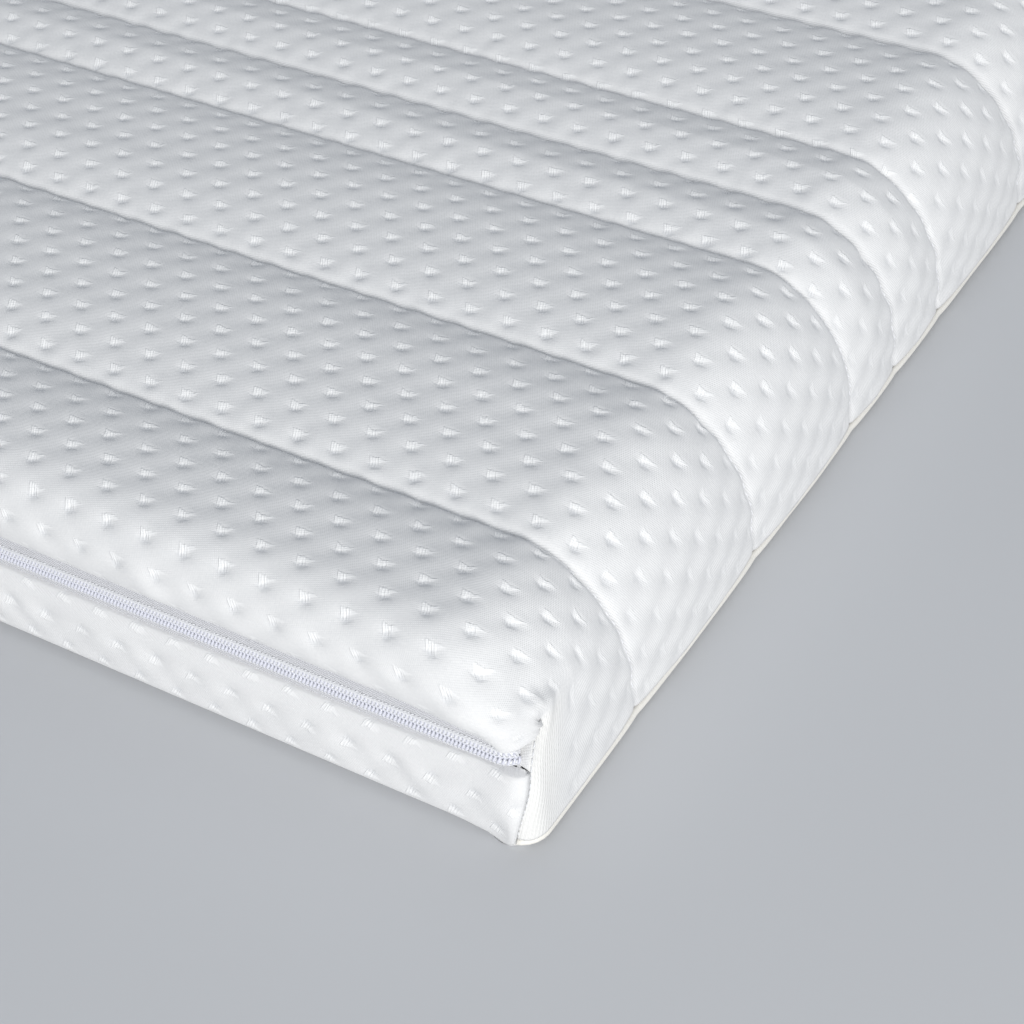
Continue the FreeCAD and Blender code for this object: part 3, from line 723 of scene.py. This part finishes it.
def group(name, inputs, outputs):
    """Empty node group with named sockets; returns it with its nodes, inputs and outputs."""
    tree = bpy.data.node_groups.new(name, "ShaderNodeTree")
    for label, kind, value in inputs:
        socket = tree.interface.new_socket(name=label, in_out="INPUT", socket_type=kind)
        if value is not None:
            socket.default_value = value
    for label, kind in outputs:
        tree.interface.new_socket(name=label, in_out="OUTPUT", socket_type=kind)
    nodes = Nodes(tree)
    source = nodes.add("NodeGroupInput")
    target = nodes.add("NodeGroupOutput")
    return tree, nodes, source.outputs, target.inputs


def place_group(nodes, tree, **values):
    """The group as a node, with each named input linked or set."""
    node = nodes.add("ShaderNodeGroup", node_tree=tree)
    for label, value in values.items():
        nodes.feed(node.inputs[label], value)
    return node.outputs


def knit_group():
    """Fine knit: diagonal grain of interlocked loops in rows of one pitch."""
    tree, n, given, out = group(
        "fine_knit",
        [("Cloth", "NodeSocketVector", None), ("Pitch", "NodeSocketFloat", 0.0009)],
        [("Height", "NodeSocketFloat"), ("Fuzz", "NodeSocketFloat")],
    )
    split = n.add("ShaderNodeSeparateXYZ")
    n.join(given["Cloth"], split.inputs[0])
    turns = 2 * math.pi
    u = n.over(split.outputs[0], given["Pitch"])
    v = n.over(split.outputs[1], given["Pitch"])
    first = n.math("SINE", n.times(n.plus(u, n.times(v, 0.62)), turns))
    second = n.math("SINE", n.times(n.minus(v, n.times(u, 0.35)), turns))
    fuzz = n.noise(given["Cloth"], 900.0, 3.0, 0.6)
    total = n.plus(n.times(first, 0.3), n.times(second, 0.25))
    n.join(n.plus(total, n.times(fuzz, 0.9)), out["Height"])
    n.join(fuzz, out["Fuzz"])
    return tree


def dimple_group():
    """The jacquard's dimples on their staggered lattice.  Mark is the wedge on each dimple's far wall,
    which tapers to the right and which the knit lightens as a painted highlight; Stitches are the short
    strokes at its broad end; Pit is the soft hollow in front of it, which the knit darkens as painted
    shade."""
    tree, n, given, out = group(
        "jacquard_dimples",
        [("Cloth", "NodeSocketVector", None)],
        [("Pit", "NodeSocketFloat"), ("Mark", "NodeSocketFloat"), ("Stitches", "NodeSocketFloat")],
    )
    split = n.add("ShaderNodeSeparateXYZ")
    n.join(given["Cloth"], split.inputs[0])
    wobble = n.noise(given["Cloth"], 260.0, 2.0)
    ragged = n.times(n.minus(wobble, 0.5), 2.6 * MM)
    u = n.over(split.outputs[0], DIMPLE_PITCH)
    v = n.over(split.outputs[1], 2 * ROW_PITCH)
    pits = []
    marks = []
    strokes = []
    for shift in (0.5, 1.0):
        du = n.minus(n.math("FRACT", n.plus(u, shift)), 0.5)
        dv = n.minus(n.math("FRACT", n.plus(v, shift)), 0.5)
        x = n.times(du, DIMPLE_PITCH)
        y = n.plus(n.times(dv, 2 * ROW_PITCH), ragged)
        leaned = n.plus(x, n.times(y, 0.5))
        below = n.minus(n.math("MULTIPLY_ADD", leaned, 0.32, -0.25 * MM), y)
        far_edge = n.band(y, 1.75 * MM, 1.05 * MM)
        near_edge = n.band(below, 0.55 * MM, -0.35 * MM)
        along = n.times(n.band(leaned, -2.9 * MM, -1.6 * MM), n.band(leaned, 6.0 * MM, 2.6 * MM))
        mark = n.times(n.times(far_edge, near_edge), along)
        wave = n.math("COSINE", n.times(leaned, 2 * math.pi / (1.1 * MM)))
        toothed = n.band(wave, -0.6, 0.8)
        broad = n.band(leaned, 2.2 * MM, 0.4 * MM)
        tall = n.times(n.band(below, 1.9 * MM, 0.5 * MM), far_edge)
        start = n.band(leaned, -3.1 * MM, -2.1 * MM)
        strokes.append(n.times(n.times(toothed, broad), n.times(tall, start)))
        marks.append(mark)
        far = n.plus(n.times(n.math("ABSOLUTE", x), 0.6), n.math("ABSOLUTE", n.plus(y, 1.6 * MM)))
        pits.append(n.band(far, 2.6 * MM, 0.2 * MM))
    n.join(n.plus(*pits), out["Pit"])
    n.join(n.plus(*marks), out["Mark"])
    n.join(n.plus(*strokes), out["Stitches"])
    return tree


def weave_group():
    """Plain weave: warp and weft as crossed rounded bars, with a little unevenness."""
    tree, n, given, out = group(
        "plain_weave",
        [("Cloth", "NodeSocketVector", None), ("Pitch", "NodeSocketFloat", 0.0005)],
        [("Height", "NodeSocketFloat"), ("Fuzz", "NodeSocketFloat")],
    )
    split = n.add("ShaderNodeSeparateXYZ")
    n.join(given["Cloth"], split.inputs[0])
    u = n.times(n.over(split.outputs[0], given["Pitch"]), math.pi)
    v = n.times(n.over(split.outputs[2], given["Pitch"]), math.pi)
    bars = n.times(n.math("SINE", u), n.math("SINE", v))
    fuzz = n.noise(given["Cloth"], 1400.0, 2.0, 0.6)
    n.join(n.plus(bars, n.times(fuzz, 0.6)), out["Height"])
    n.join(fuzz, out["Fuzz"])
    return tree


KNIT = knit_group()
DIMPLES = dimple_group()
WEAVE = weave_group()


# ---- materials
def new_material(name, roughness, **constants):
    """Principled material; constants are set on the shader's own sockets."""
    material = bpy.data.materials.new(name)
    material.use_nodes = True
    nodes = Nodes(material.node_tree)
    shader = material.node_tree.nodes["Principled BSDF"]
    shader.inputs["Roughness"].default_value = roughness
    for label, value in constants.items():
        shader.inputs[label].default_value = value
    return material, nodes, shader.inputs


def cloth_vector(nodes):
    """The (s, t) of the cloth, from its UV map."""
    return nodes.add("ShaderNodeUVMap", uv_map="cloth").outputs[0]


def object_vector(nodes):
    """Metres in the piece's own frame."""
    return nodes.add("ShaderNodeTexCoord").outputs["Object"]


def quilted_knit(name, half_s, seam_s):
    """White jacquard knit: grain and fuzz in the bump, raised marks on the dimples' far walls lightened
    as a painted highlight, soft hollows darkened as painted shade.
    On the upright sides the marks lose their strokes; beside the corner seams the cloth is
    stretched smooth and shows its ribs."""
    material, n, shader = new_material(name, 0.85, **{"Sheen Weight": 0.2, "Sheen Roughness": 0.5})
    cloth = cloth_vector(n)
    grain = place_group(n, KNIT, Cloth=cloth, Pitch=0.72 * MM)
    dimple = place_group(n, DIMPLES, Cloth=cloth)
    split = n.add("ShaderNodeSeparateXYZ")
    n.join(cloth, split.inputs[0])
    across = n.math("ABSOLUTE", split.outputs[0])
    along = n.math("ABSOLUTE", split.outputs[1])
    upright = n.band(across, half_s - 62 * MM, half_s - 38 * MM)
    beside = n.band(along, SEAM_Y - 20 * MM, SEAM_Y - 7 * MM)
    past = n.band(along, SEAM_Y + 1.5 * MM, SEAM_Y)
    strip = n.times(n.times(beside, past), n.band(across, seam_s, seam_s + 5 * MM))
    front = n.band(along, SEAM_Y, SEAM_Y + 16 * MM)
    plain = n.times(n.minus(1.0, strip), n.math("MULTIPLY_ADD", front, -0.3, 1.0))
    mark = n.times(n.times(dimple["Mark"], plain), n.math("MULTIPLY_ADD", upright, -0.55, 1.0))
    stitches = n.times(n.times(dimple["Stitches"], plain), n.minus(1.0, upright))
    pit = n.times(dimple["Pit"], n.times(plain, n.math("MULTIPLY_ADD", upright, -0.7, 1.0)))
    tone = n.mix(grain["Fuzz"], (0.70, 0.705, 0.715, 1.0), (0.80, 0.80, 0.805, 1.0))
    # painted shade: the soft hollow in front of each dimple is darkened and tinted blue
    tone = n.mix(n.times(pit, 0.24), tone, (0.50, 0.53, 0.58, 1.0))
    tone = n.mix(n.times(strip, 0.35), tone, (0.82, 0.81, 0.77, 1.0))
    # painted highlight: the marks on the dimples' far walls and their strokes are lightened as if lit;
    # their raise in the bump below is real relief
    lit = n.plus(n.times(mark, 0.48), n.times(stitches, 0.30))
    tone = n.mix(n.math("MINIMUM", lit, 1.0), tone, (0.94, 0.945, 0.95, 1.0))
    n.join(tone, shader["Base Color"])
    ribs = n.math("SINE", n.times(split.outputs[1], 2 * math.pi / (1.15 * MM)))
    height = n.times(grain["Height"], 0.075)
    height = n.plus(height, n.times(stitches, 0.11))
    height = n.plus(height, n.times(mark, 0.14))
    height = n.minus(height, n.times(pit, 0.25))
    height = n.plus(height, n.times(n.times(ribs, strip), 0.05))
    n.join(n.bump(height, 1.0 * MM), shader["Normal"])
    return material


def woven_tape(name):
    """Zip tape: fine plain weave, a little blue, uneven with fuzz."""
    material, n, shader = new_material(name, 0.6, **{"Sheen Weight": 0.15})
    place = object_vector(n)
    weave = place_group(n, WEAVE, Cloth=place, Pitch=0.42 * MM)
    n.join(n.mix(weave["Fuzz"], (0.86, 0.865, 0.92, 1.0), (0.96, 0.965, 1.0, 1.0)), shader["Base Color"])
    n.join(n.bump(weave["Height"], 0.30 * MM), shader["Normal"])
    return material


def plain_thread(name, tone):
    """Spun thread or plain ply of one tone, with fuzz."""
    material, n, shader = new_material(name, 0.6, **{"Sheen Weight": 0.1})
    place = object_vector(n)
    fuzz = n.noise(place, 1500.0)
    n.join(n.mix(fuzz, tuple(c * 0.85 for c in tone) + (1.0,), tone + (1.0,)), shader["Base Color"])
    n.join(n.bump(fuzz, 0.1 * MM), shader["Normal"])
    return material


def nylon(name):
    """Smooth nylon wire of the coils."""
    material, n, shader = new_material(name, 0.32, **{"Coat Weight": 0.1})
    place = object_vector(n)
    grain = n.noise(place, 700.0)
    n.join(n.mix(grain, (0.60, 0.61, 0.69, 1.0), (0.69, 0.70, 0.78, 1.0)), shader["Base Color"])
    n.join(n.bump(grain, 0.04 * MM), shader["Normal"])
    return material


def lacquered_metal(name):
    """White lacquered zinc, worn through to the metal in spots."""
    material, n, shader = new_material(name, 0.3, **{"Coat Weight": 0.3})
    place = object_vector(n)
    wear = n.band(n.noise(place, 420.0, 4.0), 0.62, 0.72)
    n.join(n.mix(wear, (0.80, 0.81, 0.83, 1.0), (0.56, 0.56, 0.57, 1.0)), shader["Base Color"])
    n.join(n.plus(n.times(wear, 0.5), 0.1), shader["Metallic"])
    n.join(n.plus(n.times(n.noise(place, 900.0), 0.2), 0.22), shader["Roughness"])
    n.join(n.bump(n.noise(place, 650.0), 0.03 * MM), shader["Normal"])
    return material


def foam(name, tone, cell):
    """Open-cell foam: pores from one size of cells."""
    material, n, shader = new_material(name, 0.95)
    place = object_vector(n)
    cells = n.add("ShaderNodeTexVoronoi", feature="DISTANCE_TO_EDGE")
    n.join(place, cells.inputs["Vector"])
    cells.inputs["Scale"].default_value = 1.0 / cell
    pores = n.band(cells.outputs["Distance"], 0.02, 0.25)
    # painted shade: the grooves between the cells, lowest in the bump, are darkened
    dark = tuple(c * 0.7 for c in tone) + (1.0,)
    n.join(n.mix(pores, dark, tone + (1.0,)), shader["Base Color"])
    n.join(n.bump(pores, 0.4 * MM), shader["Normal"])
    return material


# ---- the cover
def columns_with_corner(fine_from, fine, coarse):
    """Columns on the dimples' lattice, fine towards +X."""
    def made(layout):
        left = ruler(-layout.half_s, fine_from, coarse, (-layout.seam_s,))
        right = ruler(fine_from, layout.half_s, fine, (layout.seam_s,))
        return np.concatenate([left[:-1], right])
    return made


def rows_with_lines(fine_to, fine, coarse):
    """Rows on the dimples' lattice, fine towards the foot end, exact at every seam."""
    def made(layout):
        foot = -SEAM_Y - layout.foot[0][-1]
        head = SEAM_Y + layout.head[0][-1]
        near = ruler(foot, fine_to, fine, (-SEAM_Y, *LINES))
        far = ruler(fine_to, head, coarse, (SEAM_Y, *LINES))
        return np.concatenate([near[:-1], far])
    return made


def build_cover(knit):
    """The two quilted panels; the under panel's flaps are sewn to the top panel's sides."""
    fine_columns = columns_with_corner(DIMPLE_PITCH, DIMPLE_PITCH / 10, DIMPLE_PITCH / 6)
    fine_rows = rows_with_lines(-HALF_Y + 44 * ROW_PITCH, ROW_PITCH / 7, ROW_PITCH / 4)
    upper = Layout(
        (UPPER_EDGE_IN, UPPER_EDGE_DOWN), UPPER_END_RADIUS, WELT_HIGH.z + 0.6 * MM,
        UPPER_FLAP_EDGE + HEM_RADIUS, HEAD_SEAM_HIGH.z + HEM_RADIUS, SEAM_TOP, fine_columns, fine_rows)
    top, top_points, edges = panel("quilted_top_cover", upper, upper_relief, knit, TOP_HEM_DEPTH)
    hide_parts("top_cover_knit", "top_cover_wadding")
    coarse_columns = columns_with_corner(DIMPLE_PITCH, DIMPLE_PITCH / 6, DIMPLE_PITCH / 4)
    coarse_rows = rows_with_lines(-HALF_Y + 8 * ROW_PITCH, ROW_PITCH / 5, ROW_PITCH / 3)
    lower = Layout(
        (LOWER_EDGE, LOWER_EDGE), LOWER_EDGE, HEIGHT - WELT_LOW.z,
        HEIGHT - LOWER_FLAP_EDGE + HEM_RADIUS, HEIGHT - HEAD_SEAM_LOW.z + HEM_RADIUS,
        HEIGHT - WELT_LOW.z, coarse_columns, coarse_rows, flip=True)
    bottom, bottom_points, _ = panel(
        "quilted_bottom_cover", lower, lower_relief, knit, UNDER_HEM_DEPTH, edges)
    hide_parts("bottom_cover_knit", "bottom_cover_wadding")
    return upper, top_points, lower, bottom_points, edges


# ---- seams
STITCH_RADIUS = 0.24 * MM
WELT_RADIUS = 1.45 * MM


def build_quilting_thread(name, layout, points, material, replaced):
    """Lockstitch down every quilting seam of a panel: short threads in its groove, each a
    bow that rises at its middle and dives at both ends."""
    stitch = 4.0 * MM
    lines = []
    for place in LINES:
        row = points[:, np.argmin(np.abs(layout.t - place))]
        starts = np.arange(-layout.half_s + 8 * MM, layout.half_s - 12 * MM, stitch)
        along = starts[:, None] + np.array([0.06, 0.5, 0.94])[None, :] * stitch
        line = np.stack([np.interp(along, layout.s, row[:, k]) for k in range(3)], axis=-1)
        out = unit(line * np.array([1.0, 0.0, 1.0]) - np.array([0.0, 0.0, HEIGHT / 2]))
        bend = [layout.half_s - 80 * MM, layout.half_s - 20 * MM]
        across = np.interp(np.abs(along), bend, [0.0, 1.0])
        out[:, :, 0] *= 0.0 if layout.flip else across
        line[:, :, 1] = place
        lines.append(line + unit(out) * np.array([-0.25, 0.32, -0.25])[None, :, None] * MM)
    place_tubes(name, np.concatenate(lines), STITCH_RADIUS, 4, (0.0, 1.0, 0.0),
                material, replaced)


def build_corner_stitches(edges, material):
    """Stitches down the four corner seams, each half sunk in its groove."""
    stitch = 2.6 * MM
    lines = []
    for (end, side), edge in edges.items():
        way = np.concatenate([[0.0], np.cumsum(np.linalg.norm(np.diff(edge, axis=0), axis=1))])
        starts = np.arange(1.5 * MM, way[-1] - stitch, stitch)
        along = starts[:, None] + np.array([0.08, 0.5, 0.92])[None, :] * stitch
        line = np.stack([np.interp(along, way, edge[:, k]) for k in range(3)], axis=-1)
        out = unit(np.array([side * 1.0, end * 1.0, 0.0]))
        lines.append(line + out * np.array([-0.3, 0.05, -0.3])[None, :, None] * MM)
    place_tubes("corner_seam_stitches", np.concatenate(lines), STITCH_RADIUS, 5, (0.7, 0.7, 0.1),
                material, "corner_seam_thread")


def build_side_welts(material):
    """Turned seam along each long side's bottom edge: a rounded roll that wanders a little."""
    y = np.linspace(-SEAM_Y - SEAM_DRIFT, SEAM_Y + SEAM_DRIFT, 900)
    place, pull = round_corner(np.abs(y))
    gap, _ = seam_distance(y)
    for side, label in ((-1, "left"), (1, "right")):
        wander = 0.25 * MM * noise(y / (23 * MM), y * 0 + side + 5, 31)
        into = 0.7 * MM * np.exp(-gap / (6 * MM)) + pull + 0.9 * MM
        place_y = np.sign(y) * (place - 1.2 * MM * smooth((np.abs(y) - SEAM_Y + 4 * MM) / (6 * MM)))
        line = np.stack([side * (HALF_X - into) + wander, place_y, 2.6 * MM + wander * 0.6], axis=-1)
        place_tubes("rolled_side_seam_" + label, line[None], WELT_RADIUS, 10, (0.0, 0.0, 1.0),
                    material, "side_seam_welt_" + label)


# ---- zip
ZIP_DEPTH = TAPE_UPPER_LOW.y + HALF_Y          # from the end face to the tapes' outer face
ZIP_PLAN_RADIUS = 14.0 * MM
COIL_PITCH = 1.42 * MM
WIRE_RADIUS = 0.52 * MM
FILLER_RADIUS = 0.80 * MM


def zip_path(way, depth):
    """Plan line of the zip at a depth under the end face, way along it from its middle:
    straight, then round the corners.  Returns points at height 0 and outward directions."""
    straight = HALF_X - ZIP_PLAN_RADIUS
    radius = ZIP_PLAN_RADIUS - depth
    angle = np.clip((np.abs(way) - straight) / radius, 0.0, None)
    side = np.sign(way)
    x = side * (np.minimum(np.abs(way), straight) + radius * np.sin(angle))
    y = -HALF_Y + ZIP_PLAN_RADIUS - radius * np.cos(angle)
    points = np.stack([x, y, np.zeros_like(x)], axis=-1)
    out = np.stack([side * np.sin(angle), -np.cos(angle), np.zeros_like(x)], axis=-1)
    return points, out


def zip_reach(depth):
    """Half length of the zip's line at a depth, from its middle to the corner seam."""
    radius = ZIP_PLAN_RADIUS - depth
    last = math.acos((SEAM_Y - HALF_Y + ZIP_PLAN_RADIUS) / radius)
    return HALF_X - ZIP_PLAN_RADIUS + radius * last


def build_coils(material, cord_material):
    """Nylon coils: every tooth is a bent wire that leaves the tape, bows over the filler
    cord and hooks across the middle between two teeth of the other row."""
    half = zip_reach(ZIP_DEPTH) - 1.4 * MM
    teeth = np.arange(-half, half, COIL_PITCH)
    bend = np.array([
        (-0.30, 0.15, 2.30), (-0.26, 0.95, 2.22), (-0.14, 1.42, 1.85), (0.02, 1.50, 1.30),
        (0.16, 1.36, 0.85), (0.28, 0.90, 0.50), (0.38, 0.30, -0.05),
    ])
    cord_way = np.linspace(-half, half, 500)
    for away, label, shift in ((1, "upper", 0.0), (-1, "lower", 0.5)):
        way = (teeth + shift * COIL_PITCH)[:, None] + bend[None, :, 0] * COIL_PITCH
        base, out = zip_path(way, ZIP_DEPTH)
        line = base + out * bend[None, :, 1, None] * MM
        line[:, :, 2] = ZIP_Z + away * bend[None, :, 2] * MM
        place_tubes("coil_teeth_" + label, line, WIRE_RADIUS, 6, (0.3, 1.0, 0.2),
                    material, "zip_coil_" + label)
        base, out = zip_path(cord_way, ZIP_DEPTH)
        cords = []
        for lift, height in ((0.85, 1.50), (0.42, 2.15)):
            line = base + out * lift * MM
            line[:, 2] = ZIP_Z + away * height * MM
            cords.append(line)
        place_tubes("coil_filler_" + label, np.stack(cords), FILLER_RADIUS, 8, (0.0, 0.0, 1.0),
                    cord_material, "zip_coil_cord_" + label)


def build_coil_stitching(material):
    """Two rows of chain stitch sew each coil to its tape: short threads over the wires'
    feet, one per tooth, lying a little aslant."""
    half = zip_reach(ZIP_DEPTH) - 2.4 * MM
    knots = np.arange(-half, half, COIL_PITCH)
    lines = []
    for away in (-1, 1):
        for height in (1.75, 2.85):
            lift = 1.85 if height < 2.5 else 0.30
            way = knots[:, None] + np.array([-0.62, 0.0, 0.62])[None, :] * COIL_PITCH
            base, out = zip_path(way, ZIP_DEPTH)
            line = base + out * np.array([lift - 0.25, lift, lift - 0.25])[None, :, None] * MM
            line[:, :, 2] = ZIP_Z + away * (height + np.array([-0.16, 0.0, 0.16])[None, :]) * MM
            lines.append(line)
    place_tubes("coil_stitching", np.concatenate(lines), 0.2 * MM, 4, (0.3, 1.0, 0.2),
                material)


# ---- floor, light and camera
def aimed(location, target):
    """Matrix at location whose -Z points at target."""
    z = unit(np.array(location) - np.array(target))
    x = unit(np.cross((0.0, 0.0, 1.0), z))
    y = np.cross(z, x)
    matrix = Matrix.Identity(4)
    for row in range(3):
        matrix[row][0], matrix[row][1], matrix[row][2] = x[row], y[row], z[row]
        matrix[row][3] = location[row]
    return matrix


def area_light(name, location, target, size, power, colour):
    """Round lamp at location that looks at target."""
    data = bpy.data.lights.new(name, "AREA")
    data.shape = "DISK"
    data.size = size
    data.energy = power
    data.color = colour
    light = bpy.data.objects.new(name, data)
    bpy.context.scene.collection.objects.link(light)
    light.matrix_world = aimed(location, target)


def build_studio():
    """Pale floor, a big soft key from the foot end's right, and a weak cool sky."""
    floor_mesh = bpy.data.meshes.new("floor")
    reach = 6.0
    floor_mesh.from_pydata(
        [(-reach, -reach, 0.0), (reach, -reach, 0.0), (reach, reach, 0.0), (-reach, reach, 0.0)],
        [], [(0, 1, 2, 3)])
    material, n, shader = new_material("floor_paint", 0.8)
    place = object_vector(n)
    paint = n.mix(n.noise(place, 3.0), (0.56, 0.57, 0.59, 1.0), (0.60, 0.61, 0.63, 1.0))
    n.join(paint, shader["Base Color"])
    floor_mesh.materials.append(material)
    floor = bpy.data.objects.new("floor", floor_mesh)
    bpy.context.scene.collection.objects.link(floor)

    world = bpy.data.worlds.new("studio")
    world.use_nodes = True
    background = world.node_tree.nodes["Background"]
    background.inputs["Color"].default_value = (0.88, 0.93, 1.0, 1.0)
    background.inputs["Strength"].default_value = 0.43
    bpy.context.scene.world = world
    corner = (HALF_X, -HALF_Y, HEIGHT)
    area_light("key", (2.40, -3.15, 1.22), corner, 1.5, 95.0, (1.0, 0.99, 0.965))
    area_light("top", (-0.5, 0.6, 3.2), (0.0, 0.0, 0.0), 2.4, 12.0, (0.92, 0.96, 1.0))


def build_camera():
    """Camera above the zipped corner, looking down over it; its place is measured from
    that corner, then turned left, tilted down and rolled."""
    away = (0.2941, -0.4010, 0.5956)
    turn, tilt, roll = math.radians(35.729), math.radians(42.085), math.radians(-5.982)
    data = bpy.data.cameras.new("camera")
    data.sensor_width = 36.0
    data.lens = 85.97
    data.clip_start = 0.01
    camera = bpy.data.objects.new("camera", data)
    bpy.context.scene.collection.objects.link(camera)
    place = Matrix.Translation((HALF_X + away[0], -HALF_Y + away[1], away[2]))
    aim = Matrix.Rotation(turn, 4, "Z") @ Matrix.Rotation(math.pi / 2 - tilt, 4, "X")
    camera.matrix_world = place @ aim @ Matrix.Rotation(roll, 4, "Z")
    bpy.context.scene.camera = camera
    bpy.context.scene.view_settings.view_transform = "Standard"


def finish_frame_nodes(finishes):
    """Each CAD node that stays in view gets the material of its slot."""
    for names, material in finishes:
        for name in names:
            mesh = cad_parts[name].data
            mesh.materials.clear()
            mesh.materials.append(material)


TOP_ARC = edge_profile(UPPER_EDGE_IN, UPPER_EDGE_DOWN, WELT_HIGH.z)
seam_start = float(np.interp(-SEAM_TOP, -TOP_ARC[2], TOP_ARC[0]))
knit_material = quilted_knit("cover_knit", TOP_ARC[0][-1], seam_start)
tape_material = woven_tape("zip_tape")
thread_material = plain_thread("sewing_thread", (0.80, 0.81, 0.84))
welt_material = plain_thread("welt_thread", (0.86, 0.84, 0.79))
coil_material = nylon("zip_coil")
metal_material = lacquered_metal("slider_metal")
finish_frame_nodes((
    (("memory_foam_layer",), foam("memory_foam", (0.86, 0.82, 0.66), 1.2 * MM)),
    (("support_foam_layer",), foam("support_foam", (0.80, 0.80, 0.78), 2.0 * MM)),
    (("foam_sleeve",), plain_thread("sleeve_tricot", (0.85, 0.85, 0.85))),
    (("top_cover_backing", "bottom_cover_backing"), plain_thread("backing", (0.84, 0.84, 0.84))),
    (("head_seam_thread", "zip_stitching_upper", "zip_stitching_lower"), thread_material),
    (("zip_tape_upper", "zip_tape_lower"), tape_material),
    (("zip_slider_body", "zip_pull_tab"), metal_material),
))
upper, upper_points, lower, lower_points, edges = build_cover(knit_material)
build_quilting_thread("quilting_stitches", upper, upper_points, thread_material, "top_quilting_thread")
build_quilting_thread(
    "bottom_quilting_stitches", lower, lower_points, thread_material, "bottom_quilting_thread")
build_corner_stitches(edges, thread_material)
build_side_welts(welt_material)
build_coils(coil_material, thread_material)
build_coil_stitching(thread_material)
build_studio()
build_camera()
